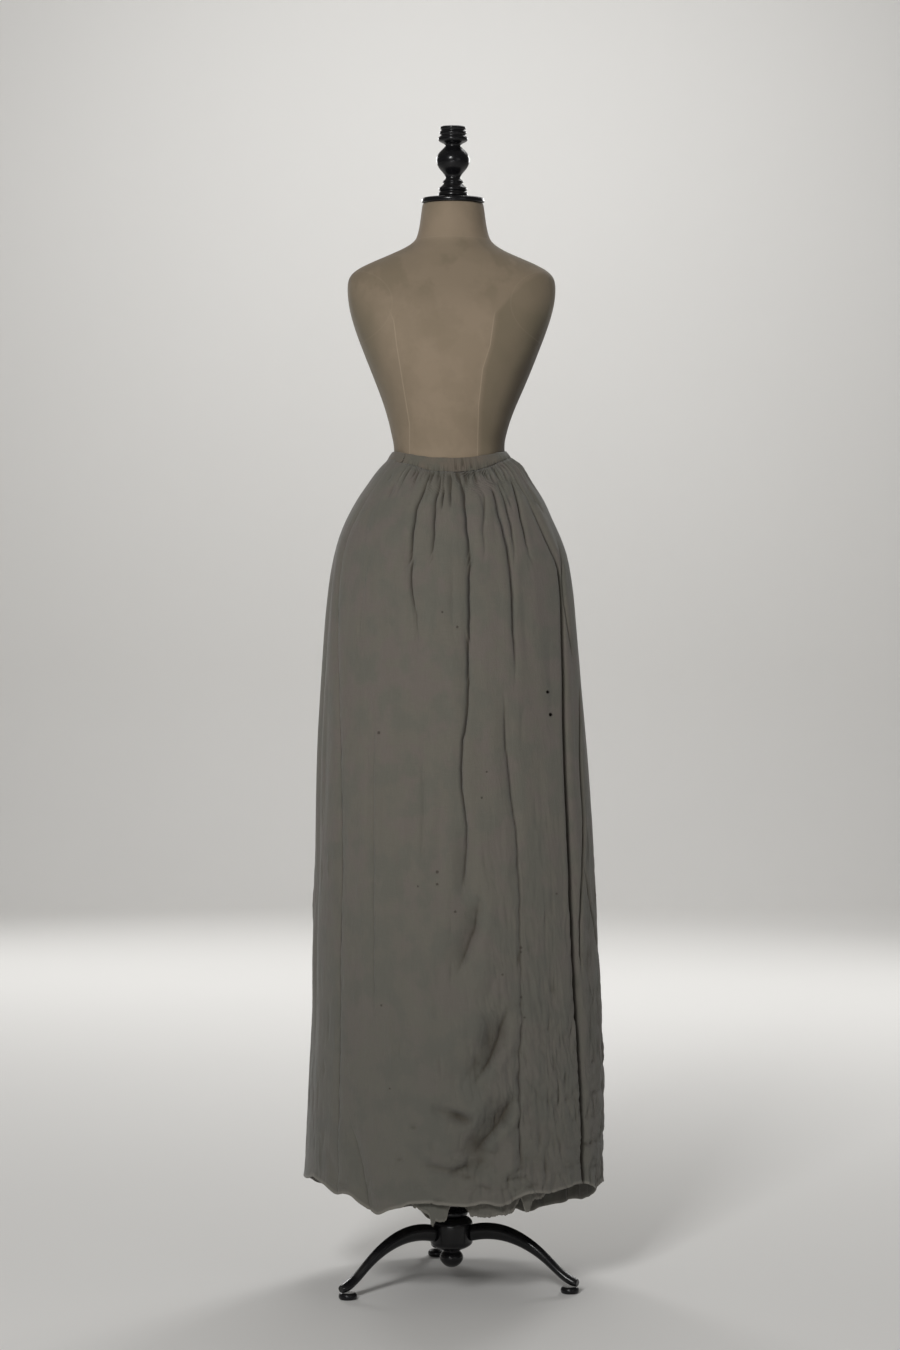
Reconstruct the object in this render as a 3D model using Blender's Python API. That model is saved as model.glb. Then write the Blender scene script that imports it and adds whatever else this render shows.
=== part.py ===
"""A long gathered skirt on a limbless dress form with a turned three-legged stand.

Metres, +Z up. The front faces -Y and +X is on the viewer's right. The origin is on the floor under
the pole. The sizes below are in millimetres, and MM turns them into metres. An angle on the cloth is
in degrees round the pole: 0 at the front, 90 at the viewer's right, 180 at the back.
"""
import math
from collections import namedtuple

import bmesh
import bpy
from mathutils import Matrix, Vector

MM = 0.001
SEAM_GAP = 0.3
CLOTH = 2.0

# The waist: it is level at the sides, dips at the front and rises at the back
WAIST = 1203.0
FRONT_DIP = 15.0
BACK_RISE = 6.0
DIP_BOTTOM = 1000.0
DIP_LOW = 1165.0
DIP_HIGH = 1215.0
DIP_TOP = 1330.0

# Half widths to the viewer's left and right, and depths in front of the pole and behind it
Section = namedtuple("Section", "height left right front back")
SKIRT_SECTIONS = (
    Section(1203, 87, 82, 80, 79),
    Section(1195, 93, 89, 85, 86),
    Section(1189, 98, 99, 90, 92),
    Section(1177, 107, 106, 97, 102),
    Section(1163, 117, 114, 104, 112),
    Section(1134, 137, 133, 115, 130),
    Section(1105, 153, 147, 123, 144),
    Section(1076, 165, 159, 129, 153),
    Section(1047, 172, 168, 134, 159),
    Section(989, 180, 176, 142, 165),
    Section(931, 185, 181, 147, 168),
    Section(815, 192, 192, 155, 172),
    Section(728, 195, 199, 160, 175),
    Section(612, 197, 206, 165, 178),
    Section(496, 201, 211, 169, 181),
    Section(380, 202, 218, 173, 184),
    Section(264, 207, 220, 177, 186),
    Section(157, 211, 218, 181, 188),
    Section(60, 213, 218, 183, 189),
)

# The outer face of the waistband, on the same levels as the skirt
BAND_SECTIONS = (
    Section(1203, 86, 80, 79, 78),
    Section(1194, 91.5, 86.5, 82.5, 82.5),
    Section(1183, 97, 91, 86.5, 87),
)
BandHeight = namedtuple("BandHeight", "angle height")
BAND_HEIGHTS = (
    BandHeight(-90, 15),
    BandHeight(-39, 14),
    BandHeight(-16, 19),
    BandHeight(14, 19),
    BandHeight(31, 17),
    BandHeight(49, 12.5),
    BandHeight(90, 9),
    BandHeight(150, 15),
    BandHeight(270, 15),
)
LAP_START = -62.0
LAP_END = 312.0
LAP_RISE_START = 276.0
LAP_RISE_END = 296.0
BAND_STEP = 5.0

# The hem's height above the floor round the skirt: ragged in front, longer behind
Hem = namedtuple("Hem", "angle height")
HEM = (
    Hem(-97, 153),
    Hem(-80, 159),
    Hem(-69, 162),
    Hem(-57, 157),
    Hem(-51, 150),
    Hem(-43, 151),
    Hem(-33, 133),
    Hem(-29, 128),
    Hem(-21, 142),
    Hem(-12, 146),
    Hem(3, 143),
    Hem(11, 146),
    Hem(18, 144),
    Hem(29, 156),
    Hem(38, 154),
    Hem(49, 160),
    Hem(61, 157),
    Hem(72, 148),
    Hem(92, 145),
    Hem(116, 107),
    Hem(139, 84),
    Hem(148, 70),
    Hem(154, 74),
    Hem(164, 64),
    Hem(172, 63),
    Hem(177, 70),
    Hem(183, 62),
    Hem(189, 54),
    Hem(195, 74),
    Hem(212, 82),
    Hem(231, 110),
    Hem(250, 136),
    Hem(263, 153),
)

# A seam or fold runs through its places, from the top down, each a height and an angle
Place = namedtuple("Place", "height angle")
Fold = namedtuple("Fold", "name depth half_width places")
SEAM_LEFT = Fold("left_seam", 3.0, 6.0, (
    Place(1203, -60), Place(1004, -66), Place(760, -55), Place(295, -49), Place(60, -47)))
SEAM_RIGHT = Fold("right_seam", 15.0, 8.5, (
    Place(1203, 53), Place(1123, 57), Place(1065, 60), Place(1030, 65), Place(901, 62),
    Place(816, 58), Place(717, 56), Place(378, 57), Place(278, 59), Place(60, 63)))
SEAM_BACK_RIGHT = Fold("back_right_seam", 5.0, 7.0, (Place(1203, 118), Place(600, 124), Place(60, 126)))
SEAM_BACK_LEFT = Fold("back_left_seam", 5.0, 7.0, (Place(1203, 242), Place(600, 237), Place(60, 234)))
SEAMS = (SEAM_LEFT, SEAM_RIGHT, SEAM_BACK_RIGHT, SEAM_BACK_LEFT)
SEAM_FADE_TOP = 1178.0
SEAM_FADE_FULL = 1090.0

FOLDS = (
    Fold("left_gather", 6.0, 4.5, (
        Place(1172, -18), Place(1141, -20), Place(1124, -22), Place(1073, -20), Place(1002, -19),
        Place(964, -16), Place(900, -15))),
    Fold("left_middle_gather", 5.0, 4.5, (Place(1165, -10), Place(1127, -10), Place(1010, -9))),
    Fold("middle_short", 3.0, 3.5, (Place(1163, -5), Place(1110, -6))),
    Fold("centre", 8.5, 6.5, (
        Place(1165, 4), Place(1131, 7), Place(1051, 8), Place(912, 7), Place(816, 6), Place(785, 4),
        Place(717, 4), Place(649, 6), Place(565, 3))),
    Fold("right_thin", 3.0, 4.0, (Place(1155, 21), Place(1000, 15))),
    Fold("right_gather", 6.0, 5.0, (Place(1150, 29), Place(1031, 29), Place(880, 29))),
    Fold("right_joining", 4.5, 4.5, (Place(1168, 40), Place(1099, 34), Place(1040, 31))),
    Fold("right_lower", 4.5, 6.0, (
        Place(865, 23), Place(789, 23), Place(739, 24), Place(626, 27), Place(400, 27), Place(200, 26))),
    Fold("hip_gather", 4.5, 4.5, (Place(1160, 49), Place(1085, 42), Place(1040, 41))),
    Fold("side_second", 7.0, 6.0, (
        Place(1070, 72), Place(959, 72), Place(858, 76), Place(759, 69), Place(631, 66), Place(475, 63))),
    Fold("side_outer", 4.0, 6.0, (Place(630, 68), Place(460, 83))),
    Fold("hem_left", 6.0, 9.0, (Place(310, -49), Place(249, -42), Place(195, -37), Place(120, -31))),
    Fold("left_faint", 2.5, 6.0, (Place(670, -34), Place(190, -31))),
    Fold("drape_upper", 8.0, 15.0, (Place(625, 13), Place(450, 2))),
    Fold("drape_middle", 8.0, 14.0, (Place(430, 18), Place(310, 10))),
    Fold("drape_lower", 8.0, 14.0, (Place(325, 25), Place(215, 11))),
    Fold("right_side_back", 7.0, 11.0, (Place(1120, 93), Place(700, 97), Place(60, 101))),
    Fold("back_first", 9.0, 12.0, (Place(1150, 136), Place(700, 138), Place(60, 139))),
    Fold("back_second", 7.0, 11.0, (Place(1160, 152), Place(800, 153), Place(300, 150))),
    Fold("back_third", 11.0, 13.0, (Place(1160, 166), Place(700, 168), Place(60, 170))),
    Fold("back_fourth", 8.0, 11.0, (Place(1150, 182), Place(900, 180), Place(420, 184))),
    Fold("back_fifth", 11.0, 13.0, (Place(1160, 197), Place(700, 198), Place(60, 200))),
    Fold("back_sixth", 8.0, 12.0, (Place(1140, 213), Place(600, 214), Place(60, 213))),
    Fold("left_side_back", 7.0, 12.0, (Place(1080, 258), Place(600, 260), Place(60, 262))),
    Fold("left_side", 4.0, 10.0, (Place(1060, 280), Place(620, 281), Place(330, 283))),
)
FOLD_TAPER = 55.0
SHOULDER = 0.28

# Small gathers run down from the waistband, in groups round the waist
Gathers = namedtuple("Gathers", "start end count depth reach")
GATHERS = (
    Gathers(-44, 50, 18, 2.3, 62),
    Gathers(50, 98, 8, 2.0, 75),
    Gathers(98, 258, 28, 3.0, 90),
)
GATHER_UNEVEN_DEPTH = 0.35
GATHER_UNEVEN_REACH = 0.45
GATHER_SEWN = 0.45
GATHER_RISE = 14.0

# Drops of a breadth's rows below its top edge: close rows have two columns for each one lower down
CLOSE_DROPS = (0.0, 5.0, 14.0, 30.0, 56.0, 92.0)
HIP_DROPS = (130.0, 172.0, 225.0, 300.0, 400.0, 510.0)
LOWER_ROWS = 7
SEAM_MARKS = (0.8, 1.8)

Breadth = namedtuple("Breadth", "name left_seam right_seam turn columns marked_left marked_right")
BREADTHS = (
    Breadth("skirt_front", SEAM_LEFT, SEAM_RIGHT, 0, 40, False, True),
    Breadth("skirt_side_right", SEAM_RIGHT, SEAM_BACK_RIGHT, 0, 14, True, False),
    Breadth("skirt_back", SEAM_BACK_RIGHT, SEAM_BACK_LEFT, 0, 34, False, False),
    Breadth("skirt_side_left", SEAM_BACK_LEFT, SEAM_LEFT, 360, 11, False, False),
)

# The dress form: "square" is 2 for an oval plan and more for a boxier one
FormSection = namedtuple("FormSection", "height left right front back square")
FORM_SECTIONS = (
    FormSection(1563, 42.8, 47.1, 52, 40, 2.0),
    FormSection(1534, 45.7, 50, 51, 43, 2.0),
    FormSection(1517, 49.5, 54, 51, 48, 2.0),
    FormSection(1508, 53.5, 57.5, 52, 54, 2.0),
    FormSection(1499, 66, 68, 55, 61, 2.0),
    FormSection(1490.6, 84, 83, 59, 67, 2.1),
    FormSection(1482, 104, 103.5, 62, 72, 2.2),
    FormSection(1473, 125, 124, 66, 76, 2.3),
    FormSection(1464.5, 141, 140, 70, 79, 2.4),
    FormSection(1456, 148.5, 148, 74, 82, 2.5),
    FormSection(1447, 151.5, 151.5, 78, 85, 2.5),
    FormSection(1424, 151.5, 151.5, 89, 90, 2.5),
    FormSection(1395, 145.5, 144.5, 102, 93, 2.45),
    FormSection(1366, 135.5, 134, 110, 93, 2.4),
    FormSection(1337, 124, 122.5, 111, 90, 2.3),
    FormSection(1308, 112.5, 111, 105, 85, 2.2),
    FormSection(1279, 101, 98, 96, 80, 2.1),
    FormSection(1250, 92, 85.5, 87, 76, 2.0),
    FormSection(1221, 85.6, 77.8, 78.6, 75.4, 2.0),
    FormSection(1212, 84.2, 77.3, 77, 75.2, 2.0),
    FormSection(1203, 83.5, 77.4, 76.4, 75.4, 2.0),
    FormSection(1186, 85.5, 79, 77.5, 77.5, 2.0),
    FormSection(1163, 95, 91, 84, 88, 2.0),
    FormSection(1134, 112, 108, 92, 104, 2.0),
    FormSection(1105, 127, 122, 99, 118, 2.0),
    FormSection(1060, 143, 139, 107, 130, 2.0),
    FormSection(1010, 151, 148, 113, 137, 2.0),
    FormSection(950, 154, 152, 116, 140, 2.0),
    FormSection(900, 152, 150, 115, 138, 2.0),
    FormSection(876, 147, 145, 111, 134, 2.0),
    FormSection(868, 136, 134, 102, 124, 2.0),
)
FORM_COLUMNS = 32
FORM_LONGEST_STEP = 50.0
NECK_TILT = 5.0
NECK_SLANT_START = 1508.0

# Turned pieces: heights and radii, from the bottom up
Turn = namedtuple("Turn", "height radius")
NECK_PLATE = (Turn(0.3, 44.5), Turn(2.5, 45.8), Turn(6.5, 45.3), Turn(8.8, 39), Turn(10.0, 25))
FINIAL = (
    Turn(10.3, 21.5), Turn(15, 21), Turn(17, 19), Turn(19, 20.5), Turn(23, 20), Turn(26, 15),
    Turn(29, 13.5), Turn(31, 15), Turn(33, 12), Turn(38, 10.5), Turn(43, 14), Turn(50, 21),
    Turn(58, 24.4), Turn(65, 24.6), Turn(72, 21), Turn(78, 14), Turn(82, 11), Turn(85, 13),
    Turn(88, 20), Turn(93, 21.7), Turn(97, 18), Turn(100, 20), Turn(104, 17), Turn(107, 19),
    Turn(110, 17))
STAND_POLE = (
    Turn(96.3, 21), Turn(101, 24), Turn(107, 21), Turn(112, 16.5), Turn(124, 18.5), Turn(140, 22),
    Turn(152, 19), Turn(158, 15.5), Turn(163, 20), Turn(169, 15.5), Turn(190, 14.5), Turn(500, 14.5),
    Turn(850, 15.5), Turn(856, 27), Turn(867.7, 28))
STAND_HUB = (
    Turn(22, 4), Turn(25, 10), Turn(31, 16), Turn(38, 17.5), Turn(44, 14), Turn(47, 12), Turn(50, 20),
    Turn(54, 28), Turn(58, 31), Turn(88, 31), Turn(92, 28), Turn(96, 22))
TURNED_SEGMENTS = 16

# A leg runs out from the hub: distance from the pole, height, half height and half width
Leg = namedtuple("Leg", "reach height half_height half_width")
LEG = (
    Leg(31.4, 74, 12.5, 8.5),
    Leg(52, 79, 12.5, 9),
    Leg(80, 79, 12, 9),
    Leg(110, 70, 11, 8.5),
    Leg(138, 54, 9.5, 8),
    Leg(158, 36, 8.5, 7.5),
    Leg(172, 24, 8, 8),
    Leg(185, 17.5, 7.7, 9),
    Leg(195, 15.3, 5.2, 7),
)
LEG_CORNER = 0.62
LEG_TURNS = (-23.0, -143.0, 97.0)
FOOT = (Turn(0, 11.5), Turn(3, 13.5), Turn(7, 13), Turn(9.5, 10))
FOOT_REACH = 183.0

Paint = namedtuple("Paint", "colour roughness")
CLOTH_PAINT = Paint((0.118, 0.108, 0.094, 1.0), 0.92)
BAND_PAINT = Paint((0.105, 0.094, 0.080, 1.0), 0.92)
LINEN_PAINT = Paint((0.235, 0.185, 0.135, 1.0), 0.85)
LACQUER_PAINT = Paint((0.006, 0.006, 0.007, 1.0), 0.25)


def smooth_step(value):
    """Ease from 0 to 1 while the value goes from 0 to 1."""
    value = max(0.0, min(1.0, value))
    return value * value * (3.0 - 2.0 * value)


def along(rows, key, column, place):
    """Value of a column where the key column has the given place, on a smooth curve through the rows."""
    rows = sorted(rows, key=lambda row: getattr(row, key))
    keys = [getattr(row, key) for row in rows]
    values = [getattr(row, column) for row in rows]
    if place <= keys[0]:
        return values[0]
    if place >= keys[-1]:
        return values[-1]
    at = max(index for index in range(len(keys) - 1) if keys[index] <= place)
    slopes = []
    for index in (at, at + 1):
        before = max(index - 1, 0)
        after = min(index + 1, len(keys) - 1)
        slopes.append((values[after] - values[before]) / (keys[after] - keys[before]))
    span = keys[at + 1] - keys[at]
    part = (place - keys[at]) / span
    bend = part * part * (3.0 - 2.0 * part)
    start = slopes[0] * span * part * (1.0 - part) ** 2
    end = slopes[1] * span * part * part * (1.0 - part)
    return values[at] + (values[at + 1] - values[at]) * bend + start - end


def waist_dip(angle):
    """How far the waist lies below its side height at an angle."""
    facing = math.cos(math.radians(angle))
    return FRONT_DIP * facing ** 2 if facing > 0 else -BACK_RISE * facing ** 2


def level(height, angle):
    """Height to look up in the section tables, which are written for the sides of the waist."""
    below = smooth_step((height - DIP_BOTTOM) / (DIP_LOW - DIP_BOTTOM))
    above = smooth_step((DIP_TOP - height) / (DIP_TOP - DIP_HIGH))
    return height + waist_dip(angle) * below * above


def oval(sections, angle, height, square=2.0):
    """Place on a level's outline, and the direction straight out of it, both seen from above."""
    turn = math.radians(angle)
    side = "right" if math.sin(turn) >= 0 else "left"
    face = "front" if math.cos(turn) >= 0 else "back"
    at = level(height, angle)
    width = along(sections, "height", side, at)
    depth = along(sections, "height", face, at)
    across = math.copysign(abs(math.sin(turn)) ** (2.0 / square), math.sin(turn))
    ahead = math.copysign(abs(math.cos(turn)) ** (2.0 / square), math.cos(turn))
    place = Vector((width * across, -depth * ahead))
    outward = Vector((across / width, -ahead / depth)).normalized()
    return place, outward


def fold_push(fold, angle, height, taper):
    """How far a fold moves the cloth inwards at a place: a trough between two low shoulders."""
    centre = along(fold.places, "height", "angle", height)
    turn = math.radians((angle - centre + 180.0) % 360.0 - 180.0)
    if abs(turn) > 0.7:
        return 0.0
    mean_radius = 0.5 * (along(SKIRT_SECTIONS, "height", "left", height)
                         + along(SKIRT_SECTIONS, "height", "front", height))
    distance = abs(turn) * mean_radius / fold.half_width
    trough = math.exp(-distance ** 2)
    shoulder = math.exp(-((distance - 2.2) / 1.1) ** 2)
    return fold.depth * taper * (trough - SHOULDER * shoulder)


def fold_taper(fold, height):
    """A fold grows from nothing at its top and fades to nothing at its foot, unless it meets the hem."""
    top = fold.places[0].height
    foot = fold.places[-1].height
    if height > top or (height < foot and foot > 200.0):
        return 0.0
    grown = smooth_step((top - height) / FOLD_TAPER)
    left = smooth_step((height - foot) / FOLD_TAPER) if foot > 200.0 else 1.0
    return grown * left


def gather_push(angle, drop):
    """How far the small gathers move the cloth inwards, at a drop below the waistband."""
    angle = angle % 360.0 if angle >= 264.0 else angle
    for group in GATHERS:
        turn = angle - 360.0 if angle > 300.0 else angle
        if not group.start <= turn <= group.end:
            continue
        place = (turn - group.start) / (group.end - group.start) * group.count
        number = math.floor(place)
        depth = group.depth * (1.0 + GATHER_UNEVEN_DEPTH * math.sin(number * 2.39))
        reach = group.reach * (1.0 + GATHER_UNEVEN_REACH * math.sin(number * 1.73 + 0.6))
        grown = GATHER_SEWN + (1.0 - GATHER_SEWN) * smooth_step(drop / GATHER_RISE)
        fade = math.exp(-(drop / reach) ** 2)
        return depth * grown * fade * 0.5 * (1.0 - math.cos(2.0 * math.pi * place))
    return 0.0


def relief(angle, height, drop):
    """How far the folds and gathers move the cloth in at a place; a negative value moves it out."""
    push = gather_push(angle, drop)
    seam_taper = smooth_step((SEAM_FADE_TOP - height) / (SEAM_FADE_TOP - SEAM_FADE_FULL))
    for seam in SEAMS:
        push += fold_push(seam, angle, height, seam_taper)
    for fold in FOLDS:
        taper = fold_taper(fold, height)
        if taper > 0.0:
            push += fold_push(fold, angle, height, taper)
    return push


def band_bottom(angle):
    """Height of the waistband's lower edge at an angle."""
    turn = (angle + 90.0) % 360.0 - 90.0
    return WAIST - waist_dip(angle) - along(BAND_HEIGHTS, "angle", "height", turn)


def hem_height(angle):
    """Height of the hem at an angle."""
    turn = (angle + 97.0) % 360.0 - 97.0
    return along(HEM, "angle", "height", turn)


def breadth_angle(breadth, share, height):
    """Angle of a column of a breadth at a height: the columns fan out between its two seams."""
    left = along(breadth.left_seam.places, "height", "angle", height)
    right = along(breadth.right_seam.places, "height", "angle", height) + breadth.turn
    half_gap = math.degrees(SEAM_GAP * 0.5 / along(SKIRT_SECTIONS, "height", "front", height))
    return left + half_gap + share * (right - left - 2.0 * half_gap)


def column_shares(breadth):
    """Shares of the width where a breadth's columns stand, closer together at a deep seam."""
    width = breadth_angle(breadth, 1.0, 600.0) - breadth_angle(breadth, 0.0, 600.0)
    shares = [index / breadth.columns for index in range(breadth.columns + 1)]
    if breadth.marked_left:
        shares += [mark / width for mark in SEAM_MARKS]
    if breadth.marked_right:
        shares += [1.0 - mark / width for mark in SEAM_MARKS]
    return sorted(shares)


def column_drops(length):
    """Drops below the top edge where a column of the given length has its points."""
    low = HIP_DROPS[-1]
    lower = [low + (length - low) * (row + 1) / LOWER_ROWS for row in range(LOWER_ROWS)]
    return list(CLOSE_DROPS + HIP_DROPS) + lower


def column_points(breadth, share):
    """Outer and inner points of one column of a breadth, from the waistband to the hem."""
    top = band_bottom(breadth_angle(breadth, share, WAIST)) - SEAM_GAP
    foot = hem_height(breadth_angle(breadth, share, HEM[0].height))
    outer = []
    inner = []
    for drop in column_drops(top - foot):
        height = top - drop
        angle = breadth_angle(breadth, share, height)
        place, outward = oval(SKIRT_SECTIONS, angle, height)
        face = place - outward * relief(angle, height, drop)
        back = face - outward * CLOTH
        outer.append(Vector((face.x, face.y, height)) * MM)
        inner.append(Vector((back.x, back.y, height)) * MM)
    return outer, inner


def material(name, paint):
    """A plain painted or woven surface of one colour."""
    made = bpy.data.materials.new(name)
    made.use_nodes = True
    shader = made.node_tree.nodes["Principled BSDF"]
    shader.inputs["Base Color"].default_value = paint.colour
    shader.inputs["Roughness"].default_value = paint.roughness
    shader.inputs["Metallic"].default_value = 0.0
    return made


def finished(name, bm, surface, sharp=40.0):
    """Turn the built faces outwards, shade them and put them in the scene as one object."""
    bmesh.ops.recalc_face_normals(bm, faces=bm.faces[:])
    mesh = bpy.data.meshes.new(name)
    bm.to_mesh(mesh)
    bm.free()
    mesh.shade_smooth()
    mesh.set_sharp_from_angle(angle=math.radians(sharp))
    mesh.materials.append(surface)
    made = bpy.data.objects.new(name, mesh)
    bpy.context.collection.objects.link(made)
    return made


def join_rows(bm, upper, lower):
    """Faces between two rows of corners, where the upper row may have twice as many spans."""
    if len(upper) == len(lower):
        for index in range(len(upper) - 1):
            bm.faces.new((upper[index], upper[index + 1], lower[index + 1], lower[index]))
        return
    for index in range(len(lower) - 1):
        first, middle, last = upper[2 * index:2 * index + 3]
        bm.faces.new((first, middle, lower[index]))
        bm.faces.new((middle, lower[index + 1], lower[index]))
        bm.faces.new((middle, last, lower[index + 1]))


def build_breadth(breadth, surface):
    """One breadth of the skirt, as a wall of cloth closed all round its edges."""
    coarse = column_shares(breadth)
    fine = []
    for first, last in zip(coarse, coarse[1:]):
        fine += [first, 0.5 * (first + last)]
    fine.append(coarse[-1])
    columns = [column_points(breadth, share) for share in fine]
    rows = len(columns[0][0])
    bm = bmesh.new()
    walls = []
    for side in (0, 1):
        wall = []
        for row in range(rows):
            step = 1 if row < len(CLOSE_DROPS) else 2
            wall.append([bm.verts.new(column[side][row]) for column in columns[::step]])
        for upper, lower in zip(wall, wall[1:]):
            join_rows(bm, upper, lower)
        walls.append(wall)
    outer, inner = walls
    join_rows(bm, outer[0], inner[0])
    join_rows(bm, outer[-1], inner[-1])
    for edge in (0, -1):
        join_rows(bm, [row[edge] for row in outer], [row[edge] for row in inner])
    return finished(breadth.name, bm, surface)


def build_waistband(surface):
    """The waistband: a strip once round the waist, whose end lies over its start."""
    count = round((LAP_END - LAP_START) / BAND_STEP)
    bm = bmesh.new()
    rings = []
    for index in range(count + 1):
        angle = LAP_START + (LAP_END - LAP_START) * index / count
        lift = (CLOTH + SEAM_GAP) * smooth_step((angle - LAP_RISE_START) / (LAP_RISE_END - LAP_RISE_START))
        top = WAIST - waist_dip(angle)
        ring = []
        for height, inset in ((top, 0.0), (band_bottom(angle), 0.0), (band_bottom(angle), CLOTH), (top, CLOTH)):
            place, outward = oval(BAND_SECTIONS, angle, height)
            corner = place + outward * (lift - inset)
            ring.append(bm.verts.new(Vector((corner.x, corner.y, height)) * MM))
        rings.append(ring)
    for first, last in zip(rings, rings[1:]):
        for corner in range(4):
            following = (corner + 1) % 4
            bm.faces.new((first[corner], first[following], last[following], last[corner]))
    bm.faces.new(rings[0])
    bm.faces.new(rings[-1])
    return finished("waistband", bm, surface)


def form_heights():
    """Heights of the form's rings: every row of its table, and more between rows that lie far apart."""
    heights = []
    for above, below in zip(FORM_SECTIONS, FORM_SECTIONS[1:]):
        parts = math.ceil((above.height - below.height) / FORM_LONGEST_STEP)
        heights += [above.height + (below.height - above.height) * part / parts for part in range(parts)]
    return heights + [FORM_SECTIONS[-1].height]


def build_form(surface):
    """The dress form, neck to hips, as one smooth solid with a slanted neck."""
    bm = bmesh.new()
    rings = []
    for height in form_heights():
        square = along(FORM_SECTIONS, "height", "square", height)
        slant = math.tan(math.radians(NECK_TILT)) * smooth_step(
            (height - NECK_SLANT_START) / (FORM_SECTIONS[0].height - NECK_SLANT_START))
        ring = []
        for column in range(FORM_COLUMNS):
            angle = 360.0 * column / FORM_COLUMNS
            place, _ = oval(FORM_SECTIONS, angle, height, square)
            rise = (place.y - neck_centre().y) * slant
            ring.append(bm.verts.new(Vector((place.x, place.y, height + rise)) * MM))
        rings.append(ring)
    for upper, lower in zip(rings, rings[1:]):
        join_rows(bm, upper + upper[:1], lower + lower[:1])
    bm.faces.new(rings[0])
    bm.faces.new(rings[-1])
    return finished("form_body", bm, surface)


def neck_centre():
    """The middle of the neck's top, seen from above."""
    neck = FORM_SECTIONS[0]
    return Vector(((neck.right - neck.left) / 2.0, (neck.back - neck.front) / 2.0))


def build_turned(name, turns, surface):
    """A solid turned on a lathe, standing on its own axis."""
    bm = bmesh.new()
    rings = []
    for turn in turns:
        ring = []
        for segment in range(TURNED_SEGMENTS):
            angle = 2.0 * math.pi * segment / TURNED_SEGMENTS
            place = Vector((turn.radius * math.cos(angle), turn.radius * math.sin(angle), turn.height))
            ring.append(bm.verts.new(place * MM))
        rings.append(ring)
    for lower, upper in zip(rings, rings[1:]):
        join_rows(bm, upper + upper[:1], lower + lower[:1])
    bm.faces.new(rings[0])
    bm.faces.new(rings[-1])
    return finished(name, bm, surface)


def build_leg(name, turn, surface):
    """A curved leg, with an eight-sided section that thins towards the foot."""
    bm = bmesh.new()
    rings = []
    for place in LEG:
        flat = place.half_width * LEG_CORNER
        tall = place.half_height * LEG_CORNER
        corners = (
            (place.half_width, tall), (flat, place.half_height), (-flat, place.half_height),
            (-place.half_width, tall), (-place.half_width, -tall), (-flat, -place.half_height),
            (flat, -place.half_height), (place.half_width, -tall))
        rings.append([bm.verts.new(Vector((place.reach, across, place.height + up)) * MM)
                      for across, up in corners])
    for first, last in zip(rings, rings[1:]):
        join_rows(bm, first + first[:1], last + last[:1])
    bm.faces.new(rings[0])
    bm.faces.new(rings[-1])
    bmesh.ops.rotate(bm, verts=bm.verts[:], cent=(0, 0, 0),
                     matrix=Matrix.Rotation(math.radians(turn), 3, "Z"))
    return finished(name, bm, surface)


def main():
    """Build every piece of the skirt, the form and the stand."""
    for old in list(bpy.data.objects):
        bpy.data.objects.remove(old, do_unlink=True)
    cloth = material("grey_cloth", CLOTH_PAINT)
    band = material("band_cloth", BAND_PAINT)
    linen = material("beige_linen", LINEN_PAINT)
    lacquer = material("black_lacquer", LACQUER_PAINT)
    for breadth in BREADTHS:
        build_breadth(breadth, cloth)
    build_waistband(band)
    build_form(linen)
    neck = neck_centre()
    for name, turns in (("neck_plate", NECK_PLATE), ("finial", FINIAL)):
        piece = build_turned(name, turns, lacquer)
        piece.location = Vector((neck.x, neck.y, FORM_SECTIONS[0].height)) * MM
        piece.rotation_euler = (math.radians(NECK_TILT), 0.0, 0.0)
    build_turned("stand_pole", STAND_POLE, lacquer)
    build_turned("stand_hub", STAND_HUB, lacquer)
    for number, turn in enumerate(LEG_TURNS, 1):
        build_leg(f"stand_leg_{number}", turn, lacquer)
        foot = build_turned(f"stand_foot_{number}", FOOT, lacquer)
        direction = math.radians(turn)
        foot.location = Vector((math.cos(direction), math.sin(direction), 0.0)) * FOOT_REACH * MM


main()
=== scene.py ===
"""Looks of a long gathered skirt on a limbless dress form with a turned three-legged stand.

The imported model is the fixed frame. Tables of the cloth and the turned wood are in millimetres and
degrees round the pole (0 at the front, 90 at the viewer's right), as in the part's own source.
"""
import logging
import math
from dataclasses import dataclass
from enum import Enum
from typing import NamedTuple

import bmesh
import bpy
import numpy as np
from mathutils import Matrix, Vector

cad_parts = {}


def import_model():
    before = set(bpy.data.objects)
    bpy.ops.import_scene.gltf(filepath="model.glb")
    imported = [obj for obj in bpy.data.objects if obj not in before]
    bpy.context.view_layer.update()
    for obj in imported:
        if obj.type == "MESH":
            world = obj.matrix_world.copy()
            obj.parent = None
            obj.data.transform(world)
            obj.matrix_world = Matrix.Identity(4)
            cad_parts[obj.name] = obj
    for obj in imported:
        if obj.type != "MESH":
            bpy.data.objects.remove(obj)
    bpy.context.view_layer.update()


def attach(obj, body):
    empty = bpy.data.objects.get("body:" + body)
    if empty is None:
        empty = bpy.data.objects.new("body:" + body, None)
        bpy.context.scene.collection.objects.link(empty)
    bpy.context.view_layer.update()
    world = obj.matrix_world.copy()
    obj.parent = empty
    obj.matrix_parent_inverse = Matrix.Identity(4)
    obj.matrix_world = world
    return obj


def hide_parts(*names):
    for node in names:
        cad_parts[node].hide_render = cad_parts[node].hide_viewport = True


LOG = logging.getLogger("skirt_scene")
MM = 0.001
BODY = "root"
HEM_START = -97.0
Array = np.ndarray
Node = bpy.types.Node
Piece = bpy.types.Object
Socket = bpy.types.NodeSocket
Surface = bpy.types.Material
Tree = bpy.types.NodeTree


class Slot(Enum):
    """Names of the material slots."""

    SKIRT = "skirt_cloth"
    BAND = "band_cloth"
    LINEN = "form_linen"
    LACQUER = "black_lacquer"


class Section(NamedTuple):
    """Half widths and depths of one level of the cloth."""

    height: float
    left: float
    right: float
    front: float
    back: float


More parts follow.
